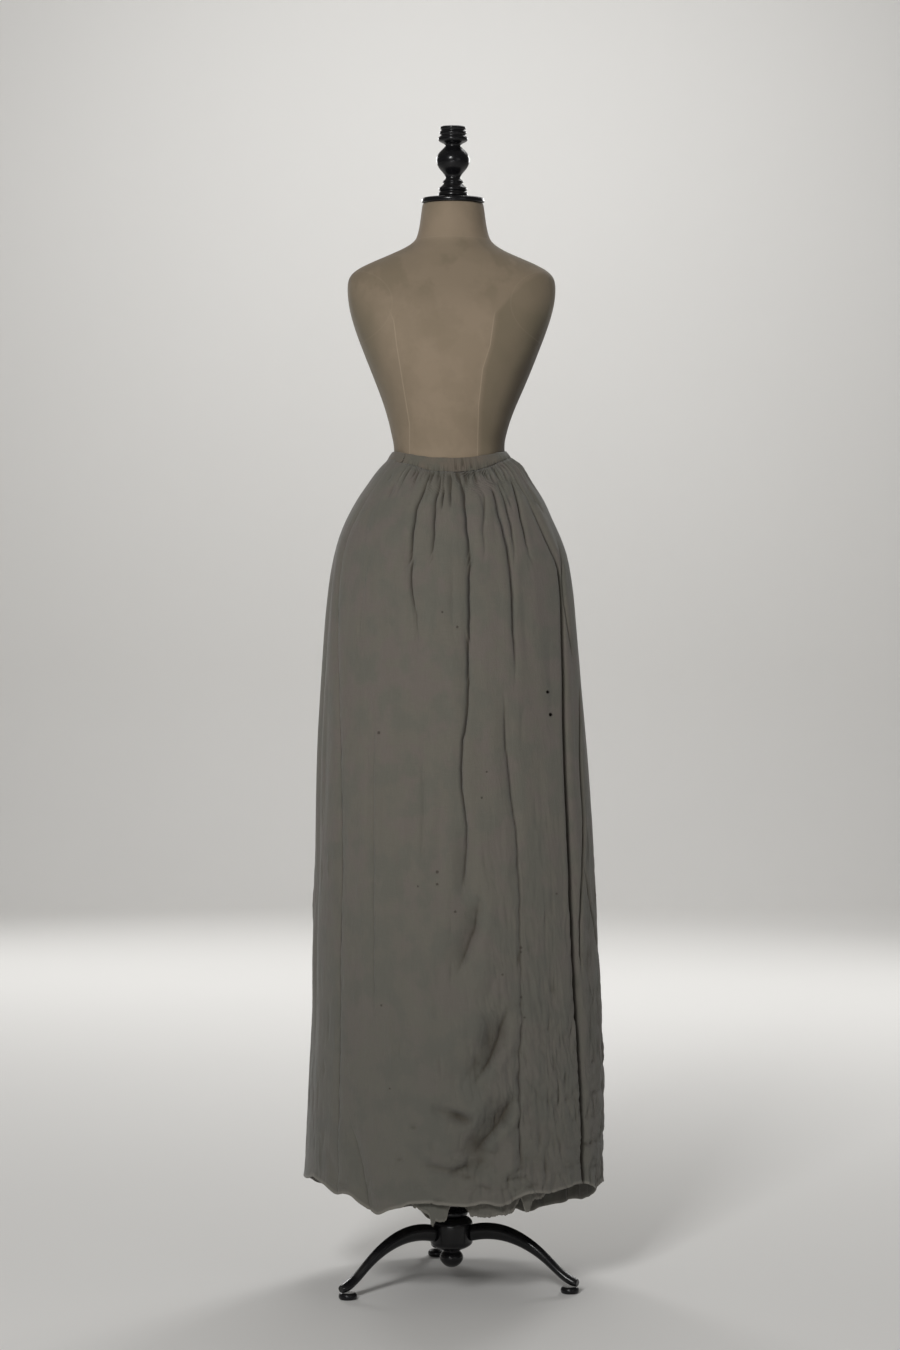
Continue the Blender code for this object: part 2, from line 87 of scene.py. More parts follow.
class Place(NamedTuple):
    """A place that a fold runs through, and how strong the fold is there."""

    height: float
    angle: float
    strength: float = 1.0


class Edge(NamedTuple):
    """The height of an edge, or the width of the band, at an angle."""

    angle: float
    height: float


class Depth(NamedTuple):
    """How deep the side fold lies at a height."""

    height: float
    depth: float


class Fold(NamedTuple):
    """A long fold: its soft trough, the depth of the sharp line in it, and the places it runs through.

    A positive lean makes the trough steep on its right side and slow on its left.
    """

    depth: float
    half_width: float
    crease: float
    places: tuple
    lean: float = 0.0


class Crease(NamedTuple):
    """A short trough, or a ridge where its depth is negative, from one place to another."""

    top_height: float
    top_angle: float
    foot_height: float
    foot_angle: float
    depth: float
    half_width: float


class Gathers(NamedTuple):
    """A group of small gathers under the waistband."""

    start: float
    end: float
    count: int
    depth: float
    reach: float


class Turn(NamedTuple):
    """One level of a turned piece."""

    height: float
    radius: float


class LegRing(NamedTuple):
    """One section of a leg, at its reach from the pole."""

    reach: float
    height: float
    half_height: float
    half_width: float


class SeamPlace(NamedTuple):
    """A place of a seam on the form: a height and its distance across."""

    height: float
    x: float


class Spot(NamedTuple):
    """A small dark mark on the front, by its place across and up."""

    x: float
    z: float
    radius: float


class Lamp(NamedTuple):
    """A soft upright lamp and what it points at."""

    name: str
    place: tuple
    aim: tuple
    width: float
    height: float
    power: float


def rows(kind: type, *table: tuple) -> tuple:
    """Named rows from plain ones."""
    return tuple(kind(*row) for row in table)


def long_fold(depth: float, half_width: float, crease: float, *places: tuple, lean: float = 0.0) -> Fold:
    """A fold through plain places."""
    return Fold(depth, half_width, crease, rows(Place, *places), lean)


# The skirt's plan at each level, and the heights of its edges
SKIRT_SECTIONS = rows(
    Section, (1203, 87, 82, 80, 79), (1195, 93, 89, 85, 86), (1189, 98, 99, 90, 92),
    (1177, 107, 106, 97, 102), (1163, 117, 114, 104, 112), (1134, 137, 133, 115, 130),
    (1105, 153, 147, 123, 144), (1076, 165, 159, 129, 153), (1047, 172, 168, 134, 159),
    (989, 180, 176, 142, 165), (931, 185, 181, 147, 168), (815, 192, 192, 155, 172),
    (728, 195, 199, 160, 175), (612, 197, 206, 165, 178), (496, 201, 211, 169, 181),
    (380, 202, 218, 173, 184), (264, 207, 220, 177, 186), (157, 211, 218, 181, 188),
    (60, 213, 218, 183, 189))
BAND_SECTIONS = rows(
    Section, (1203, 86, 80, 79, 78), (1194, 91.5, 86.5, 82.5, 82.5), (1183, 97, 91, 86.5, 87))
BAND_HEIGHTS = rows(
    Edge, (-90, 15), (-39, 14), (-16, 19), (14, 19), (31, 17), (49, 12.5), (90, 9), (150, 15), (270, 15))
HEM = rows(
    Edge, (-97, 153), (-80, 159), (-69, 162), (-57, 157), (-51, 150), (-43, 151), (-33, 133), (-29, 128),
    (-21, 142), (-12, 146), (3, 143), (11, 146), (18, 144), (29, 156), (38, 154), (49, 160), (61, 157),
    (72, 148), (92, 145), (116, 107), (139, 84), (148, 70), (154, 74), (164, 64), (172, 63), (177, 70),
    (183, 62), (189, 54), (195, 74), (212, 82), (231, 110), (250, 136), (263, 153))
FACING_EDGE = rows(
    Edge, (-19, 150), (-16, 143), (-13, 137), (-10.6, 132), (-8.8, 128), (-8, 119), (-7.3, 115.5),
    (-6.2, 120.5), (-4.4, 119), (-2.6, 121.5), (-1.6, 128), (-1, 137), (0.6, 144), (5.6, 146), (7, 130),
    (9, 127.5), (13, 126), (18, 127.5), (22, 129), (24.6, 132), (25.8, 141), (27.6, 149), (28.8, 141),
    (29.5, 131), (30.8, 129), (31.8, 133), (33, 142), (36, 146), (40, 151), (43, 158))

# The seams between the breadths, the depth of the deep side fold at each height, and the folds
SEAM_LEFT = long_fold(
    1.4, 7.0, 2.4, (1203, -60, 0.5), (1060, -66, 0.7), (1004, -66), (760, -55), (295, -51, 0.9),
    (230, -50, 0.4), (60, -49, 0.3))
SEAM_RIGHT = long_fold(
    3.0, 7.0, 1.0, (1203, 53), (1123, 57), (1065, 60), (1030, 65), (901, 62), (816, 58), (717, 56),
    (378, 57), (278, 59), (60, 63))
SEAM_BACK_RIGHT = long_fold(3.6, 7.0, 1.6, (1203, 118), (600, 124), (60, 126))
SEAM_BACK_LEFT = long_fold(3.6, 7.0, 1.6, (1203, 242), (600, 237), (60, 234))
SEAMS = (SEAM_LEFT, SEAM_RIGHT, SEAM_BACK_RIGHT, SEAM_BACK_LEFT)
SIDE_DEPTHS = rows(
    Depth, (60, 17), (300, 19), (600, 21), (850, 20), (930, 16), (1010, 11), (1080, 6), (1150, 0))
FOLDS = (
    long_fold(1.8, 5.0, 8.0, (1178, -15, 0.5), (1162, -18, 0.7), (1141, -19), (1116, -21), (1073, -20),
        (1002, -19, 0.7), (964, -16, 0.4), (900, -15, 0.12)),
    long_fold(1.6, 4.5, 7.5, (1176, -11, 0.4), (1156, -9, 0.8), (1120, -10), (1075, -9.4, 0.7),
        (1010, -9, 0.2)),
    long_fold(0.8, 3.5, 5.4, (1152, -5), (1108, -6)),
    long_fold(0.8, 3.5, 5.4, (1172, -1, 0.8), (1106, -1)),
    long_fold(2.2, 8.0, 9.0, (1176, 3, 0.5), (1153, 6, 0.9), (1131, 7), (1051, 8), (912, 7),
        (816, 6, 0.9), (785, 4, 0.7), (717, 4, 0.7), (649, 6, 0.45), (560, 3, 0.15)),
    long_fold(0.8, 3.5, 5.0, (1164, 10, 0.9), (1118, 7, 0.7)),
    long_fold(1.2, 4.0, 4.0, (1150, 22, 0.7), (1120, 20), (1085, 17, 0.7), (1020, 16, 0.2)),
    long_fold(2.0, 5.0, 7.0, (1150, 30, 0.6), (1110, 28), (1031, 29), (940, 29, 0.8), (860, 29, 0.3)),
    long_fold(1.4, 4.0, 5.0, (1164, 36, 0.8), (1099, 34), (1020, 31, 0.4)),
    long_fold(2.4, 8.0, 4.8, (865, 23, 0.5), (789, 23), (739, 24), (626, 27, 0.8), (400, 27, 0.5),
        (344, 26, 0.8), (182, 26, 0.6)),
    long_fold(1.8, 4.5, 6.2, (1164, 50, 0.8), (1140, 47), (1117, 44), (1060, 41, 0.7), (1020, 40, 0.3)),
    long_fold(2.0, 5.0, 3.4, (1085, 72, 0.6), (987, 68), (890, 72, 0.6)),
    long_fold(2.4, 4.5, 6.0, (870, 77, 0.6), (759, 70), (673, 68.5), (617, 65.5), (565, 62.5), (520, 61),
        (440, 60, 0.6)),
    long_fold(1.2, 4.0, 4.0, (625, 65), (551, 72), (460, 88)),
    long_fold(5.0, 11.0, 2.4, (272, -45, 0.5), (232, -41.5), (195, -38), (100, -31)),
    long_fold(1.0, 7.0, 1.8, (840, -35, 0.5), (600, -34), (470, -33), (380, -33, 0.4)),
    long_fold(0.8, 6.0, 1.3, (1090, -42, 0.6), (980, -45), (900, -46, 0.4)),
    long_fold(0.9, 6.0, 1.5, (800, -13, 0.6), (690, -12), (600, -13, 0.5)),
    long_fold(0.8, 5.0, 1.6, (1090, 1, 0.5), (1000, 0), (900, 1, 0.4)),
    long_fold(6.0, 9.0, 0.8, (680, 6), (545, 4)),
    long_fold(9.0, 12.5, 2.2, (590, 11, 0.4), (528, 9), (508, 7), (478, 3.5), (446, -1, 0.5), lean=0.45),
    long_fold(12.0, 15.5, 2.8, (430, 22, 0.5), (384, 19), (352, 15.5, 1.1), (322, 10), (300, 6, 0.5),
        lean=0.5),
    long_fold(12.5, 18.0, 1.8, (306, 25.5, 0.5), (280, 22), (258, 18.5, 1.1), (236, 13), (216, 8),
        (200, 3, 0.3), lean=0.6),
    long_fold(5.0, 11.0, 2.0, (1120, 93), (700, 97, 0.8), (60, 101)),
    long_fold(6.5, 12.0, 2.8, (1150, 136), (900, 137), (700, 138, 0.7), (60, 139)),
    long_fold(5.0, 11.0, 2.4, (1160, 152), (800, 153), (300, 150, 0.4)),
    long_fold(8.0, 13.0, 3.2, (1160, 166), (700, 168), (60, 170, 0.8)),
    long_fold(5.5, 11.0, 2.6, (1150, 182), (900, 180), (420, 184, 0.4)),
    long_fold(8.0, 13.0, 3.2, (1160, 197), (700, 198, 0.8), (60, 200)),
    long_fold(5.5, 12.0, 2.4, (1140, 213), (600, 214, 0.7), (60, 213)),
    long_fold(5.0, 12.0, 2.0, (1080, 258), (600, 260, 0.8), (60, 262)),
    long_fold(2.6, 10.0, 1.2, (1060, 280), (620, 281), (330, 283, 0.4)),
)
GATHERS = rows(
    Gathers, (-42, 50, 29, 5.0, 25), (50, 98, 14, 4.4, 27), (98, 258, 42, 4.8, 46))
WAIST_CREASES = rows(
    Crease, (1169, -52, 1154, -51, 3.1, 2.6), (1156, -44, 1128, -42, 3.1, 2.6),
    (1182, -28, 1140, -27, 6.5, 2.3), (1176, -31, 1158, -31, 4.8, 2.2), (1176, -23, 1165, -21, 4.4, 2.3),
    (1172, -19, 1161, -17, 4.1, 2.3), (1170, -14, 1152, -17, 6.5, 2.2), (1174, -11, 1157, -12, 5.8, 2.2),
    (1176, 3, 1150, 6, 5.4, 2.2), (1184, 4, 1162, 4, 3.7, 2.3), (1181, 7, 1162, 6, 3.4, 2.3),
    (1178, 9, 1162, 8, 3.7, 2.3), (1176, 11, 1158, 11, 4.1, 2.3), (1175, 14, 1157, 14, 3.7, 2.3),
    (1166, 13.5, 1148, 12.8, 5.0, 1.7), (1164, 18.4, 1142, 16.7, 5.5, 1.9),
    (1174, 20.5, 1150, 21.5, 5.5, 1.7), (1181, 23, 1167, 25.5, 6.5, 1.8),
    (1177, 24.8, 1156, 28.2, 6.5, 1.9), (1166, 32, 1146, 33, 5.5, 1.7),
    (1168, 36.4, 1153, 40.6, 6.5, 1.9), (1178, 38, 1162, 39.2, 6.5, 1.8),
    (1158, 38.5, 1137, 39.2, 5.5, 1.8), (1136, 39, 1113, 38.2, 4.5, 1.8),
    (1168, 44.5, 1150, 46, 5.5, 1.7), (1161, 54, 1138, 56, 5.5, 1.8), (1152, 64, 1121, 63.4, 4.8, 2.0),
    (1185, 48, 1173, 51, 4.1, 2.3), (1185, 55, 1170, 57, 4.1, 2.3), (1158, 66, 1110, 67, 4.1, 3.0))
FRONT_CREASES = rows(
    Crease, (1140, -54, 1040, -46, 1.4, 6.0), (1085, -28, 950, -26, 1.2, 5.0),
    (890, -39, 640, -36, 1.6, 6.0), (855, -10, 730, -9, 1.5, 6.0), (840, 32, 780, 30, 1.6, 3.4),
    (700, -5, 585, -5, 1.3, 6.0), (500, 14, 430, 8, -6.0, 13.0), (462, 17, 424, 13, 3.0, 5.0),
    (425, 12, 370, 8, -3.6, 12.0), (302, 14, 256, 7, -7.0, 13.0), (232, 24, 184, 22, -5.0, 11.0),
    (278, -8, 262, 9, 13.0, 7.0), (272, -1, 256, 8, 7.5, 6.0), (228, -6, 208, 6, -7.0, 10.0),
    (200, -12, 190, 3, 9.0, 5.0), (186, -1, 204, 9, 12.0, 6.0), (240, 12, 176, 9, 7.2, 13.0),
    (206, 29, 178, 17, -3.5, 10.0), (178, 19, 181, 30, 3.6, 2.4), (352, 9, 338, 17, -3.0, 9.0),
    (372, -24, 330, -24, -2.2, 3.6), (376, -21, 344, -21, 1.8, 2.6), (470, 31, 430, 31, 2.0, 2.4),
    (452, 34, 410, 35, -2.0, 3.0), (345, 33, 300, 34, -2.2, 3.4), (310, 38, 262, 39, 2.4, 2.4),
    (214, 52, 212, 84, 2.4, 2.4), (232, 66, 222, 92, -1.8, 4.0), (252, -17, 250, -12.5, 4.0, 2.8),
    (207, -22, 205, -18, 3.6, 2.8), (186, 2, 182, 8, 4.6, 2.8), (172, 9, 166, 16, 4.0, 2.6),
    (165, 28, 168, 35, 4.0, 2.6), (150, -8, 151, -2, 4.2, 2.6), (168, -58, 156, -40, -2.6, 3.4),
    (210, -56, 160, -50, 2.6, 8.0), (378, 45, 350, 45, 2.6, 2.0), (322, 48, 288, 47, 2.8, 2.2),
    (300, 44, 272, 44, 2.6, 2.0), (276, 53, 250, 54, 2.4, 2.0), (350, 42, 322, 41, 2.4, 2.0),
    (408, 40, 376, 39, 2.6, 2.0), (458, 43, 428, 43, 2.2, 2.0), (248, 36, 214, 34, 2.4, 2.2),
    (236, 44, 200, 45, 2.4, 2.2), (418, -26, 350, -25, -2.0, 4.0), (434, -8, 388, -8, -1.6, 4.0),
    (428, 30, 380, 31, -1.6, 3.5), (420, 38, 372, 36, -1.6, 3.5), (398, 44, 356, 40, 1.5, 3.5),
    (350, 46, 318, 43, 1.4, 3.0), (330, 33, 270, 30, 1.2, 5.0), (260, 40, 200, 42, 1.3, 6.0),
    (1100, 12, 1020, 11, 1.2, 4.0), (1120, 25, 1060, 23, 1.4, 3.5), (1000, 35, 880, 36, 1.6, 7.0),
    (940, 50, 800, 48, 1.8, 8.0), (760, 38, 640, 40, 1.3, 7.0), (1020, -40, 860, -44, 1.4, 8.0),
    (640, -20, 500, -18, 1.4, 9.0), (600, -44, 430, -42, 1.2, 8.0), (1010, 0, 900, -1, 1.2, 6.0))
BACK_CREASES = rows(
    Crease, (1130, 84, 1010, 86, 2.6, 6.0), (900, 88, 640, 92, 2.2, 9.0), (500, 96, 300, 92, 2.4, 10.0),
    (1140, 108, 1000, 110, 2.6, 6.0), (760, 112, 480, 115, 2.4, 9.0), (1130, 145, 950, 146, 2.8, 6.0),
    (640, 158, 380, 160, 2.6, 9.0), (1120, 174, 980, 175, 3.0, 6.0), (560, 190, 300, 192, 2.8, 10.0),
    (1130, 205, 960, 206, 2.8, 6.0), (700, 222, 420, 220, 2.4, 9.0), (1140, 228, 1020, 230, 2.4, 6.0),
    (980, 247, 720, 249, 2.0, 9.0), (560, 268, 360, 270, 1.8, 9.0), (900, 290, 660, 292, 1.4, 9.0),
    (420, 276, 260, 272, 2.0, 8.0))
CREASES = WAIST_CREASES + FRONT_CREASES + BACK_CREASES

# The long seams down the form's front, and the holes and small marks in the cloth
LEFT_SEAM = rows(
    SeamPlace, (1196, -60), (1238, -60), (1345, -77.6), (1382, -82), (1406, -92), (1432, -110),
    (1456, -131))
RIGHT_SEAM = rows(
    SeamPlace, (1196, 37), (1261, 38.4), (1313, 44), (1345, 54.4), (1392, 61), (1412, 76), (1437, 99),
    (1457, 127))
HOLES = rows(
    Spot, (135.5, 856, 2.2), (139.5, 824, 2.4))
MARKS = rows(
    Spot, (-20, 606, 2.2), (-20, 589, 1.9), (5, 551, 1.8), (42, 709, 1.6), (49, 745, 1.4),
    (-102, 799, 2.3), (8, 947, 1.8), (-13, 968, 1.5), (-98, 419, 1.6), (148, 572, 1.7), (-47, 586, 1.4),
    (97, 499, 1.9), (97, 493, 1.7), (97, 430, 1.9), (102, 402, 1.5), (71, 463, 1.6), (-86, 304, 1.3),
    (-28, 147, 1.9), (-57, 144, 1.3), (136, 856, 2.6), (140, 824, 2.8))

# The turned pieces, each from its foot up, and a leg from the hub outwards
NECK_PLATE = rows(
    Turn, (0.3, 44.5), (0.8, 45.5), (4.5, 45.9), (6.5, 45.3), (7.6, 43.5), (8.4, 39), (8.9, 30),
    (10.0, 25))
FINIAL = rows(
    Turn, (10.3, 21.3), (11, 21.8), (14.5, 21.6), (15.6, 20), (16.6, 19), (17.6, 20), (19.5, 20.8),
    (22, 20.6), (23.4, 18), (26, 15), (28.4, 13.3), (29.4, 14.8), (31, 15.4), (32.2, 14), (33.2, 11.8),
    (38, 10.5), (43, 14), (50, 21), (58, 24.4), (65, 24.6), (72, 21), (78, 14.3), (81.5, 11),
    (84.5, 11.8), (86.4, 17), (88.4, 20.4), (91, 21.8), (93.6, 21.6), (95.4, 19), (97, 17.8),
    (98.6, 19.4), (100.6, 20.2), (102.6, 18.6), (104, 16.8), (105.6, 18.6), (107.4, 19.2), (109.2, 18),
    (110, 15.5))
POLE = rows(
    Turn, (96.3, 20.8), (98, 23.2), (101, 24), (104.5, 23), (107, 20), (110, 17), (114, 16.4),
    (124, 18.5), (133, 21.4), (140, 22), (147, 20.8), (152, 18.6), (157, 15.5), (159.5, 15.5), (161, 19),
    (163.5, 20), (166, 19), (168, 15.6), (190, 14.6), (300, 14.5), (500, 14.5), (700, 15), (845, 15.5),
    (851, 16), (855, 26.4), (858, 27.8), (867.5, 28))
HUB = rows(
    Turn, (22, 3.4), (22.8, 7), (25, 10.6), (28.5, 14.2), (32.5, 16.8), (37, 17.5), (41, 16), (44, 13.4),
    (46, 12), (47.4, 13), (49, 18), (51, 23), (54, 28), (57.4, 30.8), (60, 31), (74, 31), (86, 31),
    (89, 30), (92, 27.6), (94.6, 23.6), (95.9, 21))
FOOT = rows(
    Turn, (0.0, 11.3), (0.6, 12.2), (2.6, 13.4), (5, 13.5), (7.4, 12.8), (9.0, 11), (9.4, 9.5))
LEG_RINGS = rows(
    LegRing, (31.3, 74, 12.5, 8.5), (34, 74.8, 12.6, 8.9), (52, 79, 12.4, 9), (80, 79, 12, 9),
    (110, 70, 11, 8.6), (138, 54, 9.6, 8), (158, 36.4, 8.6, 7.6), (172, 24.4, 7.9, 8),
    (185, 17.6, 7.4, 9), (193, 15.6, 5.9, 8), (195, 15.3, 5.0, 6.8))


class Curve:
    """A smooth curve through a few values, level beyond its ends."""

    def __init__(self, table: tuple, key: str, column: str) -> None:
        """Keep one named column of a table in the order of another."""
        keys = np.array([getattr(row, key) for row in table], float)
        order = np.argsort(keys)
        last = len(table) - 1
        self.keys = keys[order]
        self.values = np.array([getattr(row, column) for row in table], float)[order]
        after = np.minimum(np.arange(len(keys)) + 1, last)
        before = np.maximum(np.arange(len(keys)) - 1, 0)
        self.slopes = (self.values[after] - self.values[before]) / (self.keys[after] - self.keys[before])

    def __call__(self, at: Array) -> Array:
        """Value of the curve at each key asked for."""
        at = np.clip(np.asarray(at, float), self.keys[0], self.keys[-1])
        low = np.clip(np.searchsorted(self.keys, at, side="right") - 1, 0, len(self.keys) - 2)
        span = self.keys[low + 1] - self.keys[low]
        part = (at - self.keys[low]) / span
        bend = part * part * (3.0 - 2.0 * part)
        start = self.slopes[low] * span * part * (1.0 - part) ** 2
        end = self.slopes[low + 1] * span * part * part * (1.0 - part)
        return self.values[low] + (self.values[low + 1] - self.values[low]) * bend + start - end


def smooth_step(value: Array) -> Array:
    """Ease from 0 to 1 while the value goes from 0 to 1."""
    value = np.clip(value, 0.0, 1.0)
    return value * value * (3.0 - 2.0 * value)


def ease(value: Array, start: float, end: float) -> Array:
    """Ease from 0 to 1 while the value goes from a start up or down to an end."""
    return smooth_step((value - start) / (end - start))


def bell(distance: Array, reach: Array, power: float = 2) -> Array:
    """Fall softly from 1 at no distance to almost 0 at twice the reach."""
    return np.exp(-(np.abs(distance) / reach) ** power)


def turned(angle: Array) -> Array:
    """The same direction as an angle from -97 to 263 degrees, where the table of the hem starts and ends."""
    return (angle - HEM_START) % 360.0 + HEM_START


def turn_between(angle: Array, centre: Array) -> Array:
    """Signed turn in radians from a centre to an angle, the short way round."""
    return np.radians((angle - centre + 180.0) % 360.0 - 180.0)


class Ripple:
    """Seeded smooth noise that closes round the skirt, with its own count of waves each way."""

    def __init__(self, seed: int, around: int, down: int) -> None:
        """Draw the lattice of random heights."""
        self.around = around
        self.down = down
        self.grid = np.random.default_rng(seed).uniform(-1.0, 1.0, (down + 2, around))

    def __call__(self, angle: Array, share: Array) -> Array:
        """Noise from -1 to 1.

        Args:
            angle: degrees round the pole.
            share: 0 at the waist and 1 at the hem.

        Returns:
            One value for each place.
        """
        across = (angle % 360.0) / 360.0 * self.around
        fall = np.clip(share, 0.0, 0.9999) * self.down
        column = np.floor(across).astype(int)
        row = np.floor(fall).astype(int)
        x = smooth_step(across - column)
        y = smooth_step(fall - row)
        first = column % self.around
        second = (column + 1) % self.around
        upper = self.grid[row, first] * (1.0 - x) + self.grid[row, second] * x
        lower = self.grid[row + 1, first] * (1.0 - x) + self.grid[row + 1, second] * x
        return upper * (1.0 - y) + lower * y


@dataclass
class SkirtShape:
    """The worn form of the skirt: its plan at each level, its folds, gathers, creases and crumple."""

    waist: float = 1203.0
    front_dip: float = 15.0
    back_rise: float = 6.0
    dip_bottom: float = 1000.0
    dip_low: float = 1165.0
    dip_high: float = 1215.0
    dip_top: float = 1330.0
    seam_fade_top: float = 1178.0
    seam_fade_full: float = 1090.0
    seam_gap: float = 0.1
    taper_length: float = 55.0
    taper_share: float = 0.36
    waist_taper: float = 16.0
    waist_zone: float = 1140.0
    hem_zone: float = 110.0
    far_turn: float = 0.7
    far_off: float = 1000.0
    room: float = 3.6
    room_growth: float = 0.22
    shoulder: float = 0.28
    crease_half_width: float = 1.5
    crease_lip: float = 0.42
    side_cliff: float = 4.4
    side_ramp: float = 2.6
    side_lip: float = 0.3
    lap_lift: float = 2.3
    stroke_width: float = 3.0
    stroke_depth: float = 7.0
    full_shade: float = 6.0
    small_crease_count: int = 420
    hem_crease_count: int = 90
    small_crease_seed: int = 11

    def __post_init__(self) -> None:
        """Make the curves of the tables and draw the small creases."""
        self.plans = self.plan_curves(SKIRT_SECTIONS)
        self.band_plans = self.plan_curves(BAND_SECTIONS)
        self.band_curve = Curve(BAND_HEIGHTS, "angle", "height")
        self.hem_curve = Curve(HEM, "angle", "height")
        self.side_curve = Curve(SIDE_DEPTHS, "height", "depth")
        self.wander = (Ripple(41, 14, 9), Ripple(43, 60, 46))
        self.long_ripples = (Ripple(3, 23, 4), Ripple(5, 57, 8), Ripple(8, 131, 22))
        self.short_ripples = (Ripple(13, 170, 70), Ripple(17, 310, 150))
        self.crinkles = (Ripple(31, 62, 36), Ripple(37, 124, 84))
        self.hem_ripples = (Ripple(21, 52, 1), Ripple(23, 131, 1))
        self.small_creases = self.draw_small_creases()

    @staticmethod
    def plan_curves(sections: tuple) -> dict:
        """Curves of a section table's four sides against height."""
        return {side: Curve(sections, "height", side) for side in ("left", "right", "front", "back")}

    def draw_small_creases(self) -> list:
        """Short wrinkles: upright ones, most of them low on the viewer's right, and level ones at the hem."""
        draw = np.random.default_rng(self.small_crease_seed)
        made = []
        for index in range(self.small_crease_count):
            angle = draw.normal(36, 13) if index % 3 == 0 else draw.uniform(-95, 262)
            top = 90 + 620 * draw.uniform(0.1, 1.0) ** 1.4
            length = draw.uniform(14, 60)
            lean = draw.normal(0.0, 1.3)
            depth = draw.uniform(0.6, 2.0) * (1 if draw.uniform() < 0.65 else -1)
            made.append(Crease(top, angle, top - length, angle + lean, depth, draw.uniform(1.8, 3.6)))
        for _ in range(self.hem_crease_count):
            angle = draw.uniform(-95, 262)
            top = float(self.hem_curve(angle)) + draw.uniform(8, 75)
            fall = draw.uniform(-9, 9)
            width = draw.uniform(5, 15)
            depth = draw.uniform(0.5, 1.3) * (1 if draw.uniform() < 0.5 else -1)
            made.append(Crease(top, angle, top - fall, angle + width, depth, draw.uniform(1.8, 3.2)))
        return made

    def dip(self, angle: Array) -> Array:
        """How far the waist lies below its side height."""
        facing = np.cos(np.radians(angle))
        return np.where(facing > 0, self.front_dip, -self.back_rise) * facing ** 2

    def oval(self, plans: dict, angle: Array, height: Array) -> tuple:
        """Places on the plan outline, and the directions straight out of it.

        Args:
            plans: curves of the half widths and depths.
            angle: degrees round the pole.
            height: heights above the floor.

        Returns:
            x, y, outward x and outward y.
        """
        below = ease(height, self.dip_bottom, self.dip_low)
        above = ease(height, self.dip_top, self.dip_high)
        at = height + self.dip(angle) * below * above
        turn = np.radians(angle)
        sine = np.sin(turn)
        cosine = np.cos(turn)
        width = np.where(sine >= 0, plans["right"](at), plans["left"](at))
        depth = np.where(cosine >= 0, plans["front"](at), plans["back"](at))
        out_x = sine / width
        out_y = -cosine / depth
        size = np.hypot(out_x, out_y)
        return width * sine, -depth * cosine, out_x / size, out_y / size

    def mean_radius(self, height: Array) -> Array:
        """Radius that turns angles into lengths along the cloth."""
        return 0.5 * (self.plans["left"](height) + self.plans["front"](height))

    def across(self, places: tuple, angle: Array, height: Array) -> Array:
        """Distance along the cloth from a line of places; a turn beyond its reach counts as far off."""
        turn = turn_between(angle, Curve(places, "height", "angle")(height))
        return np.where(np.abs(turn) < self.far_turn, turn * self.mean_radius(height), self.far_off)

    def fold_push(self, fold: Fold, angle: Array, height: Array) -> tuple:
        """How far a long fold moves the cloth in before it is tapered: its trough and its sharp line."""
        arc = self.across(fold.places, angle, height)
        strength = Curve(fold.places, "height", "strength")(height)
        distance = np.abs(arc) / (fold.half_width * (1.0 - fold.lean * np.sign(arc)))
        trough = bell(distance, 1.0) - self.shoulder * bell(distance - 2.2, 1.1)
        first = fold.places[0].angle
        jog = 0.45 * np.sin(height * 0.19 + first) + 0.5 * np.sin(height * 0.071 + 2.0 * first)
        line = bell(arc + jog, self.crease_half_width, 1.4)
        return strength * fold.depth * trough, strength * fold.crease * line

    def side_push(self, angle: Array, height: Array) -> Array:
        """The deep side fold: the front breadth rolls in under the side breadth's crisp edge."""
        arc = self.across(SEAM_RIGHT.places, angle, height)
        return self.side_curve(height) * bell(arc, np.where(arc < 0.0, self.side_cliff, self.side_ramp), 1.5)

    def fold_taper(self, fold: Fold, height: Array) -> Array:
        """A fold grows from nothing and fades to nothing, unless it meets the hem."""
        top = fold.places[0].height
        foot = fold.places[-1].height
        taper = min(self.taper_length, self.taper_share * (top - foot))
        grown = ease(height, top, top - (taper if top < self.waist_zone else self.waist_taper))
        if foot <= self.hem_zone:
            return grown
        return grown * ease(height, foot, foot + taper)

    def crease_push(self, crease: Crease, angle: Array, height: Array) -> Array:
        """How far a short crease moves the cloth in: deepest in its middle, nothing at its ends."""
        radius = self.mean_radius(height)
        middle = 0.5 * (crease.top_angle + crease.foot_angle)
        half_span = math.radians(crease.foot_angle - middle) * radius
        across = turn_between(angle, middle) * radius + half_span
        below = crease.top_height - height
        length = crease.top_height - crease.foot_height
        run = np.hypot(2.0 * half_span, length)
        along = (across * 2.0 * half_span + below * length) / run ** 2
        aside = (across * length - below * 2.0 * half_span) / run
        ends = np.sin(np.pi * np.clip(along, 0, 1)) ** 0.8
        return crease.depth * ends * bell(aside, crease.half_width, 1.5)

    def gather_push(self, angle: Array, drop: Array) -> Array:
        """How far the small gathers move the cloth in: round ridges between sharp valleys."""
        turn = turned(angle)
        push = np.zeros(np.broadcast(turn, drop).shape)
        grown = 0.28 + 0.72 * ease(drop, 0.0, 9.0)
        proud = 0.3 * ease(drop, 0.0, 6.0)
        for group in GATHERS:
            place = (turn - group.start) / (group.end - group.start) * group.count
            place = place + 0.28 * np.sin(place * 1.7 + 0.7) + 0.08 * np.sin(place * 4.3)
            number = np.floor(place)
            inside = (turn >= group.start) & (turn <= group.end)
            depth = group.depth * (1.0 + 0.35 * np.sin(number * 2.39))
            reach = group.reach * (1.0 + 0.6 * np.sin(number * 1.73 + 0.6))
            wave = (1.0 - np.abs(np.cos(np.pi * place))) ** 0.95
            finer = 0.5 * (1.0 - np.abs(np.cos(np.pi * place * 2.0 + 0.5))) * bell(drop, 20.0)
            push += np.where(inside, depth * grown * bell(drop, reach) * (wave + finer - proud), 0.0)
        return push

